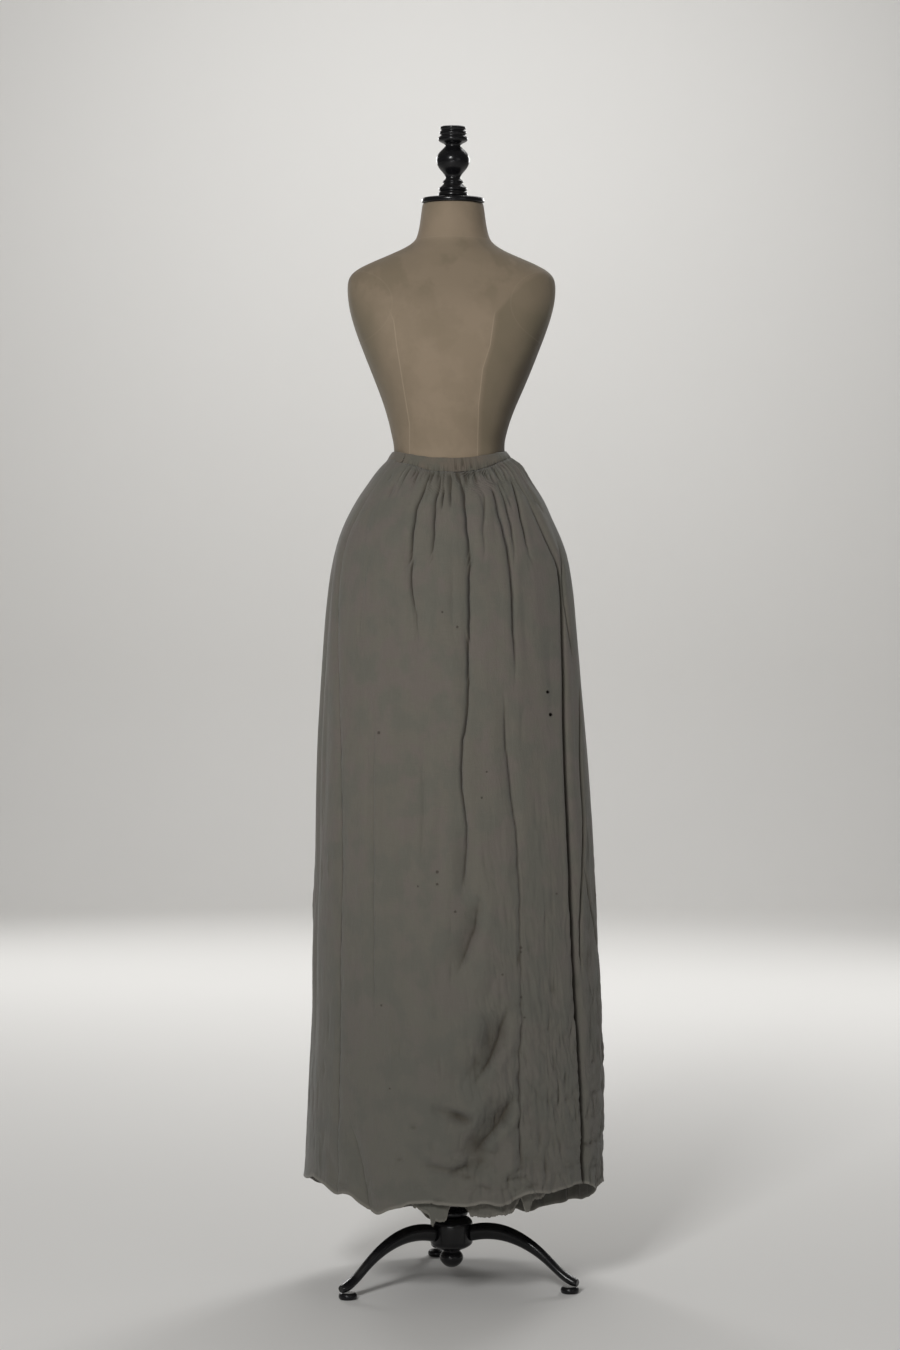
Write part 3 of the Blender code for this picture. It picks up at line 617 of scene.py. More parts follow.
    def band_pucker(self, angle: Array) -> Array:
        """Fine puckers where the gathering runs up over the band, most near the middle of the front."""
        turn = turned(angle)
        place = turn / 2.5 + 0.35 * np.sin(turn * 0.83) + 0.15 * np.sin(turn * 2.1)
        reach = 2.2 * bell(turn - 12.0, 15.0) + 0.35 * ease(turn, -42.0, -22.0)
        ridges = (1.0 - np.abs(np.cos(np.pi * place))) ** 1.5
        return reach * (1.0 + 0.4 * np.sin(np.floor(place) * 1.9)) * ridges

    def crumple(self, angle: Array, height: Array) -> tuple:
        """Soft waves all over the cloth, and a net of fine creases, stronger towards the hem."""
        share = (self.waist - height) / self.waist
        lower = ease(share, 0.3, 0.8)
        settled = ease(share, 0.02, 0.14)
        right = ease(angle, -8.0, 16.0) * ease(angle, 130.0, 80.0)
        rough = lower * (0.06 + 0.8 * right)
        wide, close = (ripple(angle, share) for ripple in self.wander)
        bent = angle + 2.4 * wide + 0.7 * close
        long, middle, narrow = (ripple(bent, share) for ripple in self.long_ripples)
        fine, finest = (ripple(bent, share) for ripple in self.short_ripples)
        waves = 1.5 * long + 0.8 * middle + (0.08 + 0.45 * rough) * narrow
        leaning = angle + 7.0 * wide + 3.4 * close
        large, small = ((1.0 - np.abs(ripple(leaning, share))) ** 6 for ripple in self.crinkles)
        net = settled * (0.05 + lower * (0.2 + 1.6 * right)) * (1.3 * large + 1.0 * small)
        return settled * (waves + (0.02 + 0.24 * rough) * fine + (0.005 + 0.12 * rough) * finest), net

    def push(self, angle: Array, height: Array, drop: Array) -> tuple:
        """Where the folds take the cloth.

        Args:
            angle: degrees round the pole.
            height: heights above the floor.
            drop: how far each place lies below the waistband.

        Returns:
            How far each place moves in, how far it slides towards higher angles under a fold's lip,
            and how deep it lies in a crease, fold or gather, as painted shade from -1 (a painted highlight on
            a crest) to 1.
        """
        gathers = self.gather_push(angle, drop) + self.band_pucker(angle) * bell(drop, 14.0)
        side = self.side_push(angle, height)
        held = 0.12 + 0.88 * ease(drop, 0.0, 13.0)
        # The crest only lightens the colour under the waistband: a painted highlight.
        crest = 0.1 * bell(drop, 26.0) * ease(angle, -44.0, -38.0)
        waves, net = self.crumple(angle, height)
        total = side + waves + net
        sharp = np.zeros_like(total)
        drapes = np.zeros_like(total)
        seam_taper = ease(height, self.seam_fade_top, self.seam_fade_full)
        for fold in (*SEAMS, *FOLDS):
            trough, line = self.fold_push(fold, angle, height)
            taper = seam_taper if fold in SEAMS else self.fold_taper(fold, height) * held
            total += trough * taper
            sharp += line * taper
            if fold.lean > 0.0:
                drapes += trough * taper
        strokes = np.zeros_like(total)
        for crease in (*CREASES, *self.small_creases):
            moved = self.crease_push(crease, angle, height) * (0.45 + 0.55 * held)
            total += moved
            if crease.half_width < self.stroke_width or crease.depth > self.stroke_depth:
                strokes += np.maximum(moved, 0.0) * min(1.0, 3.0 / crease.depth)
        slide = self.crease_lip * sharp + self.side_lip * side
        # Painted shade: creases, folds, the side fold, gathers and the crumple's net darken the cloth's
        # colour by how deep they lie; below zero, the crest and the gathers' proud ridges get a painted
        # highlight.
        crevice = sharp + 0.9 * strokes + 0.35 * side + 0.22 * np.maximum(drapes, 0.0) + 0.55 * net
        crevice = crevice + (0.6 + 0.8 * ease(drop, 0.0, 5.0)) * (gathers - crest)
        total = total + sharp + gathers
        room = self.room + self.room_growth * np.maximum(drop, 0.0)
        inward = np.where(total > 0.0, room * np.tanh(total / room), total)
        return inward, slide, np.clip(crevice / self.full_shade, -1.0, 1.0)

    @staticmethod
    def over_band(turn: Array) -> Array:
        """1 at the viewer's left, where the cloth's top lies over the band, and 0 elsewhere."""
        return ease(turn, -100.0, -88.0) * ease(turn, -54.0, -58.0)

    def tuck(self, angle: Array, height: Array, drop: Array) -> Array:
        """How far the cloth's top is drawn in to the waistband that it is sewn to."""
        x, y, out_x, out_y = self.oval(self.plans, angle, height)
        band_x, band_y, _, _ = self.oval(self.band_plans, angle, height)
        turn = turned(angle)
        lap = ease(turn, -84.0, -64.0) * ease(turn, -46.0, -50.0)
        lifted = self.over_band(turn)
        proud = (x - band_x) * out_x + (y - band_y) * out_y - self.lap_lift * lap - 0.05 * lifted
        stitched = 0.12 * (1.0 - lifted) * bell(drop - 3.5, 2.2)
        return proud * (1.0 - 0.4 * bell(turn - 88.0, 11.0)) * bell(drop, 8.0, 1.6) + stitched

    def top_height(self, angle: Array) -> Array:
        """Height of the cloth's top edge, which reaches up over the band at the viewer's left."""
        return self.band_bottom(angle) + (0.5 + 4.0 * self.over_band(turned(angle)))

    def band_bottom(self, angle: Array) -> Array:
        """Height of the waistband's lower edge."""
        return self.waist - self.dip(angle) - self.band_curve((angle + 90.0) % 360.0 - 90.0)

    def hem_height(self, angle: Array) -> Array:
        """Height of the hem, with its worn unevenness."""
        worn = 2.4 * self.hem_ripples[0](angle, 0.0) + 0.7 * self.hem_ripples[1](angle, 0.0)
        return self.hem_curve(turned(angle)) + worn


@dataclass
class Breadth:
    """One breadth of the skirt, between two seams, as a thin shell of cloth."""

    name: str
    left_seam: Fold
    right_seam: Fold
    turn: float
    columns: int
    flat: tuple
    shape: SkirtShape
    facing: "HemFacing | None" = None
    close_rows: int = 28
    hip_rows: int = 30
    lower_rows: int = 80
    low_bias: float = 0.45
    hem_rows: int = 12
    samples: int = 1400
    crowd: float = 2.2
    close_depth: float = 100.0
    hip_depth: float = 500.0
    hem_depth: float = 32.0
    hem_curl: float = 1.8
    curl_reach: float = 5.0
    hem_wave: float = 1.8
    wave_reach: float = 20.0
    hem_level: float = 150.0
    side_reach: float = 6.0
    fold_reach: float = 4.5
    full_crease: float = 4.0
    thickness: float = 0.9

    def angles(self, share: Array, height: Array) -> Array:
        """Angles of the columns at each height: they fan out between the seams."""
        left = Curve(self.left_seam.places, "height", "angle")(height)
        right = Curve(self.right_seam.places, "height", "angle")(height) + self.turn
        half_gap = np.degrees(self.shape.seam_gap * 0.5 / self.shape.plans["front"](height))
        return left + half_gap + share * (right - left - 2.0 * half_gap)

    def crowding(self, angle: Array, height: Array) -> Array:
        """How much closer together the columns stand, so that sharp lines are drawn cleanly."""
        arc = self.shape.across(SEAM_RIGHT.places, angle, height)
        crowd = 1.0 + self.crowd * bell(arc, self.side_reach)
        for fold in FOLDS:
            weight = min(fold.crease / self.full_crease, 1.0) * self.shape.fold_taper(fold, height)
            arc = self.shape.across(fold.places, angle, height)
            crowd += self.crowd * weight * bell(arc, self.fold_reach)
        return crowd

    def drops(self, length: Array) -> Array:
        """How far each row lies below the top: closest together under the band and at the hem."""
        close = np.linspace(0.0, self.close_depth, self.close_rows + 1)[:, None] + 0.0 * length
        hip = np.linspace(self.close_depth, self.hip_depth, self.hip_rows + 1)[1:, None] + 0.0 * length
        lower = np.linspace(0.0, 1.0, self.lower_rows + 1)[1:, None]
        lower = lower * (1.0 + self.low_bias * (1.0 - lower))
        lower = self.hip_depth + lower * (length - self.hip_depth - self.hem_depth)
        last = np.linspace(self.hem_depth, 0.0, self.hem_rows + 1)[1:, None]
        return np.vstack((close, hip, lower, length - last))

    def grid(self) -> tuple:
        """Places of the cloth's outer face.

        Returns:
            Arrays with a row for each level: x, y and z in metres, the drop below the waistband, the
            height above the hem, the share of the breadth's width, and the painted shade of a place deep in a
            crease.
        """
        fine = np.linspace(0.0, 1.0, self.samples + 1)
        top = self.shape.top_height(self.angles(fine, self.shape.waist))
        foot = self.shape.hem_height(self.angles(fine, self.hem_level))
        drop = self.drops((top - foot)[None, :])
        height = top[None, :] - drop
        crowd = self.crowding(self.angles(fine[None, :], height), height)
        run = np.cumsum(crowd[:, 1:] + crowd[:, :-1], axis=1)
        run = np.hstack((np.zeros((len(run), 1)), run)) / run[:, -1:]
        even = np.linspace(0.0, 1.0, self.columns + 1)
        share = np.stack([np.interp(even, row, fine) for row in run])
        height, drop = (
            np.stack([np.interp(part, fine, row) for part, row in zip(share, levels)])
            for levels in (height, drop))
        above = height - np.interp(share, fine, foot)
        angle = self.angles(share, height)
        x, y, out_x, out_y = self.shape.oval(self.shape.plans, angle, height)
        push, slide, crevice = self.shape.push(angle, height, drop)
        push += self.shape.tuck(angle, height, drop)
        waving = self.shape.hem_ripples[0](angle + 3.0, 0.0)
        push += self.hem_wave * waving * np.exp(-above / self.wave_reach)
        push -= self.hem_curl * (1.0 + 0.7 * waving) * bell(above, self.curl_reach, 1.5)
        x = x - out_x * push - out_y * slide
        y = y - out_y * push + out_x * slide
        return x * MM, y * MM, height * MM, drop, above, share, crevice

    def build(self, surface: Surface) -> Piece:
        """Make the breadth, lay its threads out in its UV map and give it its thickness."""
        x, y, z, drop, above, share, crevice = self.grid()
        step = np.hypot(np.diff(x, axis=1), np.diff(y, axis=1))
        across = np.concatenate((np.zeros((len(x), 1)), np.cumsum(step, axis=1)), axis=1)
        across -= np.array([[np.interp(0.5, part, row)] for part, row in zip(share, across)])
        sheets = [(x, y, z, across, -drop * MM, above * MM, crevice)]
        if self.facing is not None:
            x, y, z, above = self.facing.grid()
            sheets.append((x, y, z, x, z, above, np.zeros_like(x)))
        faces = []
        first = 0
        for sheet in sheets:
            index = first + np.arange(sheet[0].size).reshape(sheet[0].shape)
            faces += quads(index[:-1], index[1:])
            first += index.size
        points = np.vstack([np.stack(sheet, axis=-1).reshape(-1, len(sheet)) for sheet in sheets])
        piece = cloth_piece(self.name, points[:, :3], faces, points[:, 3:5], surface,
                            above_hem=points[:, 5], crevice=points[:, 6])
        thicken(piece, self.thickness * MM)
        register(piece, self.name)
        return piece


@dataclass
class HemFacing:
    """What is left of a strip that lined the front hem: torn loose, it shows below the hem in places."""

    shape: SkirtShape
    edge: tuple
    steps: int = 260
    rows: int = 7
    top_inset: float = 6.5
    foot_inset: float = 9.5
    height: float = 26.0
    past_gathers: float = 1000.0

    def grid(self) -> tuple:
        """Places of the strip's outer face.

        Returns:
            Arrays with a row for each level: x, y and z in metres and the height above its torn edge.
        """
        angle = np.linspace(self.edge[0].angle, self.edge[-1].angle, self.steps + 1)[None, :]
        ragged = self.shape.hem_ripples[1]
        torn = 1.5 * ragged(angle * 2.6, 0.0) + 1.0 * ragged(angle * 6.7, 0.0)
        foot = Curve(self.edge, "angle", "height")(angle) + torn
        top = self.shape.hem_height(angle) + self.height
        part = np.linspace(0.0, 1.0, self.rows + 1)[:, None]
        height = top + (foot - top) * part
        x, y, out_x, out_y = self.shape.oval(self.shape.plans, angle, height)
        push, _, _ = self.shape.push(angle, height, self.past_gathers + 0.0 * height)
        loose = 1.5 * part * self.shape.wander[1](angle * 1.7, 0.5)
        push += self.top_inset + (self.foot_inset - self.top_inset) * part + loose
        return (x - out_x * push) * MM, (y - out_y * push) * MM, height * MM, (height - foot) * MM


@dataclass
class Waistband:
    """The narrow band round the waist, puckered by the gathers, its end lapped over its start."""

    shape: SkirtShape
    name: str = "waistband"
    start: float = -62.0
    end: float = 312.0
    rise_start: float = 276.0
    rise_end: float = 296.0
    lap_end: float = 300.0
    thickness: float = 2.0
    lap_room: float = 0.3
    bulge: float = 0.35
    end_length: float = 4.0
    end_round: float = 0.42
    full_shade: float = 3.2
    steps: int = 620
    face_rows: int = 9

    def pucker(self, angle: Array, share: float) -> Array:
        """How far the gathers sewn into the band mark its outer face, most at its lower edge."""
        over = ease(angle, self.rise_end, self.lap_end)
        gathers = self.shape.gather_push(angle, np.zeros(1)) * share ** 2
        return (gathers + self.shape.band_pucker(angle) * (0.55 + 0.45 * share)) * (1.0 - over)

    def rings(self, angle: Array) -> list:
        """Heights and insets of the band's lines, down its face, round its foot and up its back."""
        top = self.shape.waist - self.shape.dip(angle) + 0.5 * self.shape.hem_ripples[0](angle, 0.0)
        bottom = self.shape.band_bottom(angle)
        end = np.clip((self.end - angle) / self.end_length, 0.0, 1.0)
        rounding = (1.0 - np.sqrt(1.0 - (1.0 - end) ** 2)) * self.end_round * (top - bottom)
        top = top - rounding
        bottom = bottom + rounding
        made = []
        for row in range(self.face_rows + 1):
            share = row / self.face_rows
            inset = self.pucker(angle, share) - self.bulge * math.sin(math.pi * share)
            made.append((top + (bottom - top) * share, inset))
        made.append((bottom - 0.15, self.thickness * 0.5))
        for row in range(3):
            made.append((bottom + (top - bottom) * row / 2.0, self.thickness))
        made.append((top + 0.45, self.thickness * 0.5))
        return made

    def build(self, surface: Surface) -> Piece:
        """Sweep the band's folded section round the waist."""
        angle = np.linspace(self.start, self.end, self.steps + 1)
        rise = ease(angle, self.rise_start, self.rise_end)
        grid = []
        for height, inset in self.rings(angle):
            x, y, out_x, out_y = self.shape.oval(self.shape.band_plans, angle, height)
            out = (self.thickness + self.lap_room) * rise - inset
            grid.append(np.stack((x + out_x * out, y + out_y * out, height), axis=-1) * MM)
        places = np.stack(grid)
        shade = np.zeros(places.shape[:2])
        for row in range(self.face_rows + 1):
            shade[row] = self.pucker(angle, row / self.face_rows)
        index = np.arange(shade.size).reshape(shade.shape)
        faces = quads(index, np.roll(index, -1, axis=0))
        faces += [index[:, 0].tolist(), index[::-1, -1].tolist()]
        arc = np.concatenate(([0.0], np.cumsum(np.linalg.norm(np.diff(places[0], axis=0), axis=1))))
        threads = np.stack(np.broadcast_arrays(arc[None, :], places[:, :, 2]), axis=-1)
        # The puckers' depth becomes painted shade in the band's colour.
        shade = np.clip(shade / self.full_shade, 0.0, 1.0)
        piece = cloth_piece(self.name, places, faces, threads, surface, crevice=shade)
        register(piece, self.name)
        return piece


@dataclass
class DressForm:
    """The limbless form: the frame's own solid, merged, made four-sided again and smoothed."""

    name: str = "form_body"
    edge_round: float = 0.0025
    levels: int = 2
    seam_reach: float = 0.013
    right_ridge: float = 0.0021
    left_ridge: float = 0.0011
    fade_low: float = 1.212
    fade_high: float = 1.245
    flat_enough: float = 0.985
    shoulder_low: float = 1.44
    shoulder_high: float = 1.47

    def build(self, surface: Surface) -> Piece:
        """Copy the form's solid and refine the copy."""
        mesh = bpy.data.objects[self.name].data.copy()
        mesh.materials.clear()
        piece = link(self.name + "_linen", mesh, surface)
        with EditMode(piece):
            bpy.ops.mesh.select_all(action="SELECT")
            bpy.ops.mesh.remove_doubles(threshold=0.00002)
            bpy.ops.mesh.tris_convert_to_quads(
                face_threshold=math.radians(50), shape_threshold=math.radians(60))
        self.close_cap(piece, 1.0)
        self.close_cap(piece, -1.0)
        refine(piece, self.levels)
        self.raise_seams(piece)
        register(piece, self.name)
        return piece

    def raise_seams(self, piece: Piece) -> None:
        """Lift the front a little along its two long seams, so that its panels meet in soft edges."""
        count = len(piece.data.vertices)
        places = np.zeros(count * 3)
        normals = np.zeros(count * 3)
        piece.data.vertices.foreach_get("co", places)
        piece.data.vertex_normals.foreach_get("vector", normals)
        places = places.reshape(-1, 3)
        lift = np.zeros(count)
        for seam, height in ((RIGHT_SEAM, self.right_ridge), (LEFT_SEAM, self.left_ridge)):
            nearest = np.full(count, 1.0)
            for low, high in zip(seam, seam[1:]):
                start = np.array((low.x, low.height)) * MM
                run = np.array((high.x, high.height)) * MM - start
                aside = places[:, (0, 2)] - start
                part = np.clip((aside @ run) / (run @ run), 0.0, 1.0)
                nearest = np.minimum(nearest, np.linalg.norm(aside - part[:, None] * run, axis=1))
            lift += height * np.exp(-nearest / self.seam_reach)
        faded = ease(places[:, 2], self.fade_low, self.fade_high)
        upper = 1.0 - ease(places[:, 2], self.shoulder_low, self.shoulder_high)
        lift *= faded * upper * (places[:, 1] < 0.0)
        places += normals.reshape(-1, 3) * lift[:, None]
        piece.data.vertices.foreach_set("co", places.ravel())
        piece.data.update()

    def close_cap(self, piece: Piece, side: float) -> None:
        """Join a flat end into one face, and set it in a little so that its edge stays crisp."""
        with EditMode(piece):
            bpy.ops.mesh.select_mode(type="FACE")
            bpy.ops.mesh.select_all(action="DESELECT")
            select(piece, "faces", lambda face: face.normal.z * side > self.flat_enough)
            bpy.ops.mesh.dissolve_faces()
            bpy.ops.mesh.inset(thickness=self.edge_round, depth=0.0)
            bpy.ops.mesh.inset(thickness=self.edge_round * 4.0, depth=0.0)


@dataclass
class WoodPiece:
    """A piece of lacquered wood, drawn out of a disc ring by ring."""

    name: str

    def add_disc(self, segments: int, **placing: object) -> Piece:
        """Add a filled circle and name it for its node."""
        bpy.ops.object.select_all(action="DESELECT")
        bpy.ops.mesh.primitive_circle_add(vertices=segments, fill_type="NGON", **placing)
        piece = bpy.context.object
        piece.name = self.name + "_lacquered"
        piece.data.name = piece.name
        return piece

    def draw_out(self, piece: Piece, insets: tuple, steps: list, levels: int) -> None:
        """Extrude a disc's rim ring by ring, close its far end and smooth the piece.

        Args:
            piece: the disc.
            insets: how far the faces of the first and the last end are set in.
            steps: each ring's move, its scale and its centre.
            levels: how often the piece is subdivided.
        """
        only(piece)
        bpy.ops.object.transform_apply(location=True, rotation=True, scale=True)
        with EditMode(piece):
            bpy.ops.mesh.select_mode(type="FACE")
            bpy.ops.mesh.select_all(action="SELECT")
            bpy.ops.mesh.inset(thickness=insets[0], depth=0.0)
            bpy.ops.mesh.select_all(action="DESELECT")
            bpy.ops.mesh.select_mode(type="EDGE")
            select(piece, "edges", lambda edge: edge.is_boundary)
            for move, size, centre in steps:
                bpy.ops.mesh.extrude_region_move(TRANSFORM_OT_translate={"value": move})
                bpy.ops.transform.resize(value=size, center_override=centre)
            bpy.ops.mesh.edge_face_add()
            bpy.ops.mesh.select_mode(type="FACE")
            bpy.ops.mesh.inset(thickness=insets[1], depth=0.0)
            bpy.ops.mesh.select_all(action="SELECT")
            bpy.ops.mesh.normals_make_consistent(inside=False)
        refine(piece, levels)

    def set_down(self, piece: Piece, turn: tuple, place: Vector, surface: Surface) -> Piece:
        """Turn the piece and move it to its place, and give it its surface."""
        piece.rotation_euler = turn
        piece.location = place
        only(piece)
        bpy.ops.object.transform_apply(location=True, rotation=True, scale=True)
        piece.data.materials.clear()
        piece.data.materials.append(surface)
        register(piece, self.name)
        return piece


@dataclass
class TurnedPiece(WoodPiece):
    """A piece of turned wood: a disc drawn up its axis to the radius of each turn."""

    turns: tuple
    foot: Vector
    tilt: float = 0.0
    segments: int = 40
    levels: int = 1
    end_share: float = 0.12

    def build(self, surface: Surface) -> Piece:
        """Extrude and scale the rings, smooth them and stand the piece in its place."""
        first = self.turns[0]
        piece = self.add_disc(self.segments, radius=first.radius * MM, location=(0, 0, first.height * MM))
        steps = []
        for below, above in zip(self.turns, self.turns[1:]):
            size = above.radius / below.radius
            move = (0, 0, (above.height - below.height) * MM)
            steps.append((move, (size, size, 1.0), (0, 0, above.height * MM)))
        insets = tuple(self.turns[end].radius * MM * self.end_share for end in (0, -1))
        self.draw_out(piece, insets, steps, self.levels)
        return self.set_down(piece, (math.radians(self.tilt), 0.0, 0.0), self.foot, surface)


@dataclass
class Leg(WoodPiece):
    """A curved leg, drawn out from the hub ring by ring and turned to its place."""

    turn: float
    rings: tuple
    segments: int = 14
    levels: int = 2
    end_inset: float = 0.0015

    def build(self, surface: Surface) -> Piece:
        """Extrude the leg's sections along its bend."""
        first = self.rings[0]
        piece = self.add_disc(self.segments, radius=MM, rotation=(0, math.radians(90), 0))
        piece.scale = (first.half_height, first.half_width, 1.0)
        piece.location = (first.reach * MM, 0, first.height * MM)
        steps = []
        for last, ring in zip(self.rings, self.rings[1:]):
            move = ((ring.reach - last.reach) * MM, 0, (ring.height - last.height) * MM)
            size = (1.0, ring.half_width / last.half_width, ring.half_height / last.half_height)
            steps.append((move, size, (ring.reach * MM, 0, ring.height * MM)))
        self.draw_out(piece, (self.end_inset, self.end_inset), steps, self.levels)
        return self.set_down(piece, (0.0, 0.0, math.radians(self.turn)), Vector(), surface)


@dataclass
class Stand:
    """The turned stand, and the disc and knob on the form's neck."""

    neck: Vector = Vector((0.00215, -0.006, 1.563))
    neck_tilt: float = 5.0
    foot_reach: float = 0.183
    leg_turns: tuple = (-23.0, -143.0, 97.0)

    def build(self, surface: Surface) -> None:
        """Build every lacquered piece."""
        TurnedPiece("neck_plate", NECK_PLATE, self.neck, self.neck_tilt, segments=56).build(surface)
        TurnedPiece("finial", FINIAL, self.neck, self.neck_tilt).build(surface)
        TurnedPiece("stand_pole", POLE, Vector()).build(surface)
        TurnedPiece("stand_hub", HUB, Vector()).build(surface)
        for number, turn in enumerate(self.leg_turns, 1):
            Leg(f"stand_leg_{number}", turn, LEG_RINGS).build(surface)
            direction = Vector((math.cos(math.radians(turn)), math.sin(math.radians(turn)), 0.0))
            foot = direction * self.foot_reach
            TurnedPiece(f"stand_foot_{number}", FOOT, foot, segments=24).build(surface)


class EditMode:
    """Edit mode on one object, for as long as the block lasts."""

    def __init__(self, piece: Piece) -> None:
        """Remember the object."""
        self.piece = piece

    def __enter__(self) -> None:
        """Select the object alone and open its mesh."""
        only(self.piece)
        bpy.ops.object.mode_set(mode="EDIT")

    def __exit__(self, *_: object) -> None:
        """Go back to object mode."""
        bpy.ops.object.mode_set(mode="OBJECT")


def only(piece: Piece) -> None:
    """Select one object and make it active."""
    bpy.ops.object.select_all(action="DESELECT")
    piece.select_set(True)
    bpy.context.view_layer.objects.active = piece


def select(piece: Piece, kind: str, wanted: object) -> None:
    """Select the faces or edges of the mesh being edited that pass a test."""
    edited = bmesh.from_edit_mesh(piece.data)
    for part in getattr(edited, kind):
        part.select = wanted(part)
    bmesh.update_edit_mesh(piece.data)


def link(name: str, mesh: bpy.types.Mesh, surface: Surface) -> Piece:
    """Put a mesh in the scene as a smooth object with its surface."""
    mesh.name = name
    mesh.materials.append(surface)
    mesh.shade_smooth()
    piece = bpy.data.objects.new(name, mesh)
    bpy.context.collection.objects.link(piece)
    return piece


def quads(upper: Array, lower: Array) -> list:
    """Four-sided faces between rows of points and the rows that follow them."""
    corners = (upper[:, :-1], lower[:, :-1], lower[:, 1:], upper[:, 1:])
    return np.stack(corners, axis=-1).reshape(-1, 4).tolist()


def cloth_piece(
        name: str, places: Array, faces: list, threads: Array, surface: Surface, **values: Array) -> Piece:
    """Make a piece of cloth with its threads laid out in its UV map.

    Args:
        name: the node that it stands for.
        places: its points.
        faces: the points of each face.
        threads: how far along and across the threads each point lies.
        surface: its material.
        values: what the material reads at each point, by name.

    Returns:
        The new piece.
    """
    mesh = bpy.data.meshes.new(name)
    mesh.from_pydata(places.reshape(-1, 3).tolist(), [], faces)
    layer = mesh.uv_layers.new(name="threads")
    corners = np.zeros(len(mesh.loops), int)
    mesh.loops.foreach_get("vertex_index", corners)
    layer.data.foreach_set("uv", threads.reshape(-1, 2)[corners].ravel())
    for label, column in values.items():
        mesh.attributes.new(label, "FLOAT", "POINT").data.foreach_set("value", column.ravel())
    return link(name + "_cloth", mesh, surface)


def refine(piece: Piece, levels: int) -> None:
    """Subdivide a piece into a smooth surface."""
    only(piece)
    smooth = piece.modifiers.new("smooth", "SUBSURF")
    smooth.levels = levels
    smooth.render_levels = levels
    bpy.ops.object.modifier_apply(modifier=smooth.name)
    bpy.ops.object.shade_smooth()


def thicken(piece: Piece, thickness: float) -> None:
    """Give a cloth its thickness, on its inner side."""
    only(piece)
    wall = piece.modifiers.new("thickness", "SOLIDIFY")
    wall.thickness = thickness
    wall.offset = -1.0
    wall.use_even_offset = False
    bpy.ops.object.modifier_apply(modifier=wall.name)


def register(piece: Piece, node: str) -> None:
    """Let a piece stand for its node and ride on the body."""
    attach(piece, BODY)
    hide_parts(node)
    LOG.info("%s: %d faces", piece.name, len(piece.data.polygons))


class Graph:
    """Short ways to add nodes to a node tree."""

    def __init__(self, tree: Tree) -> None:
        """Keep the tree."""
        self.tree = tree

    def feed(self, node: Node, inputs: dict) -> None:
        """Set a node's inputs, by name or number, to values or to other nodes' sockets."""
        for key, value in inputs.items():
            if isinstance(value, Socket):
                self.tree.links.new(value, node.inputs[key])
            else:
                node.inputs[key].default_value = value

    def node(self, kind: str, inputs: dict | None = None, **settings: object) -> Node:
        """Add a node.

        Args:
            kind: the shader node's type.
            inputs: values or sockets for its inputs, by name or number.
            settings: the node's own properties.

        Returns:
            The new node.
        """
        made = self.tree.nodes.new("ShaderNode" + kind)
        for key, value in settings.items():
            setattr(made, key, value)
        self.feed(made, inputs or {})
        return made

    def place(self) -> Socket:
        """Object coordinates."""
        return self.node("TexCoord").outputs["Object"]

    def axes(self, vector: Socket) -> list:
        """The three parts of a vector."""
        return list(self.node("SeparateXYZ", {0: vector}).outputs)

    def use(self, group: Tree, **inputs: object) -> object:
        """Place a group and give its outputs."""
        return self.node("Group", inputs, node_tree=group).outputs

    def math(self, operation: str, *values: object) -> Socket:
        """Add a Math node and give its result."""
        return self.node("Math", dict(enumerate(values)), operation=operation).outputs[0]

    def times(self, first: object, second: object) -> Socket:
        """Product of two values."""
        return self.math("MULTIPLY", first, second)

    def minus(self, first: object, second: object) -> Socket:
        """Difference of two values."""
        return self.math("SUBTRACT", first, second)

    def largest(self, values: list) -> Socket:
        """The largest of a few values."""
        found = values[0]
        for value in values[1:]:
            found = self.math("MAXIMUM", found, value)
        return found

    def ramp(self, value: object, low: float, high: float, to_low: float = 0.0, to_high: float = 1.0,
             kind: str = "SMOOTHSTEP") -> Socket:
        """Map a value from one range to another."""
        inputs = {"Value": value, "From Min": low, "From Max": high, "To Min": to_low, "To Max": to_high}
        return self.node("MapRange", inputs, interpolation_type=kind).outputs[0]

    def spread(self, share: object, low: float, high: float) -> Socket:
        """Map a share from 0 to 1 evenly to a range."""
        return self.ramp(share, 0.0, 1.0, low, high, "LINEAR")

    def mix(self, share: object, first: object, second: object, blend: str = "MIX") -> Socket:
        """Mix two colours."""
        inputs = {0: share, 6: first, 7: second}
        return self.node("Mix", inputs, data_type="RGBA", blend_type=blend).outputs[2]

    def shade(self, colour: Socket, tone: Socket) -> Socket:
        """A colour made darker or lighter by a value."""
        grey = self.node("CombineColor", {0: tone, 1: tone, 2: tone}).outputs[0]
        return self.mix(1.0, colour, grey, "MULTIPLY")

    def noise(self, vector: object, scale: object, detail: float = 3.0, rough: float = 0.5) -> Socket:
        """Add a noise texture and give its value."""
        inputs = {"Vector": vector, "Scale": scale, "Detail": detail, "Roughness": rough}
        return self.node("TexNoise", inputs).outputs["Fac"]

    def stretched(self, vector: object, scale: tuple, offset: tuple = (0, 0, 0)) -> Socket:
        """Stretch and move a vector."""
        return self.node("Mapping", {"Vector": vector, "Scale": scale, "Location": offset}).outputs[0]

    def bump(self, strength: float, distance: float, height: Socket, **inputs: Socket) -> Socket:
        """A normal that follows a height."""
        inputs.update(Strength=strength, Distance=distance, Height=height)
        return self.node("Bump", inputs).outputs[0]


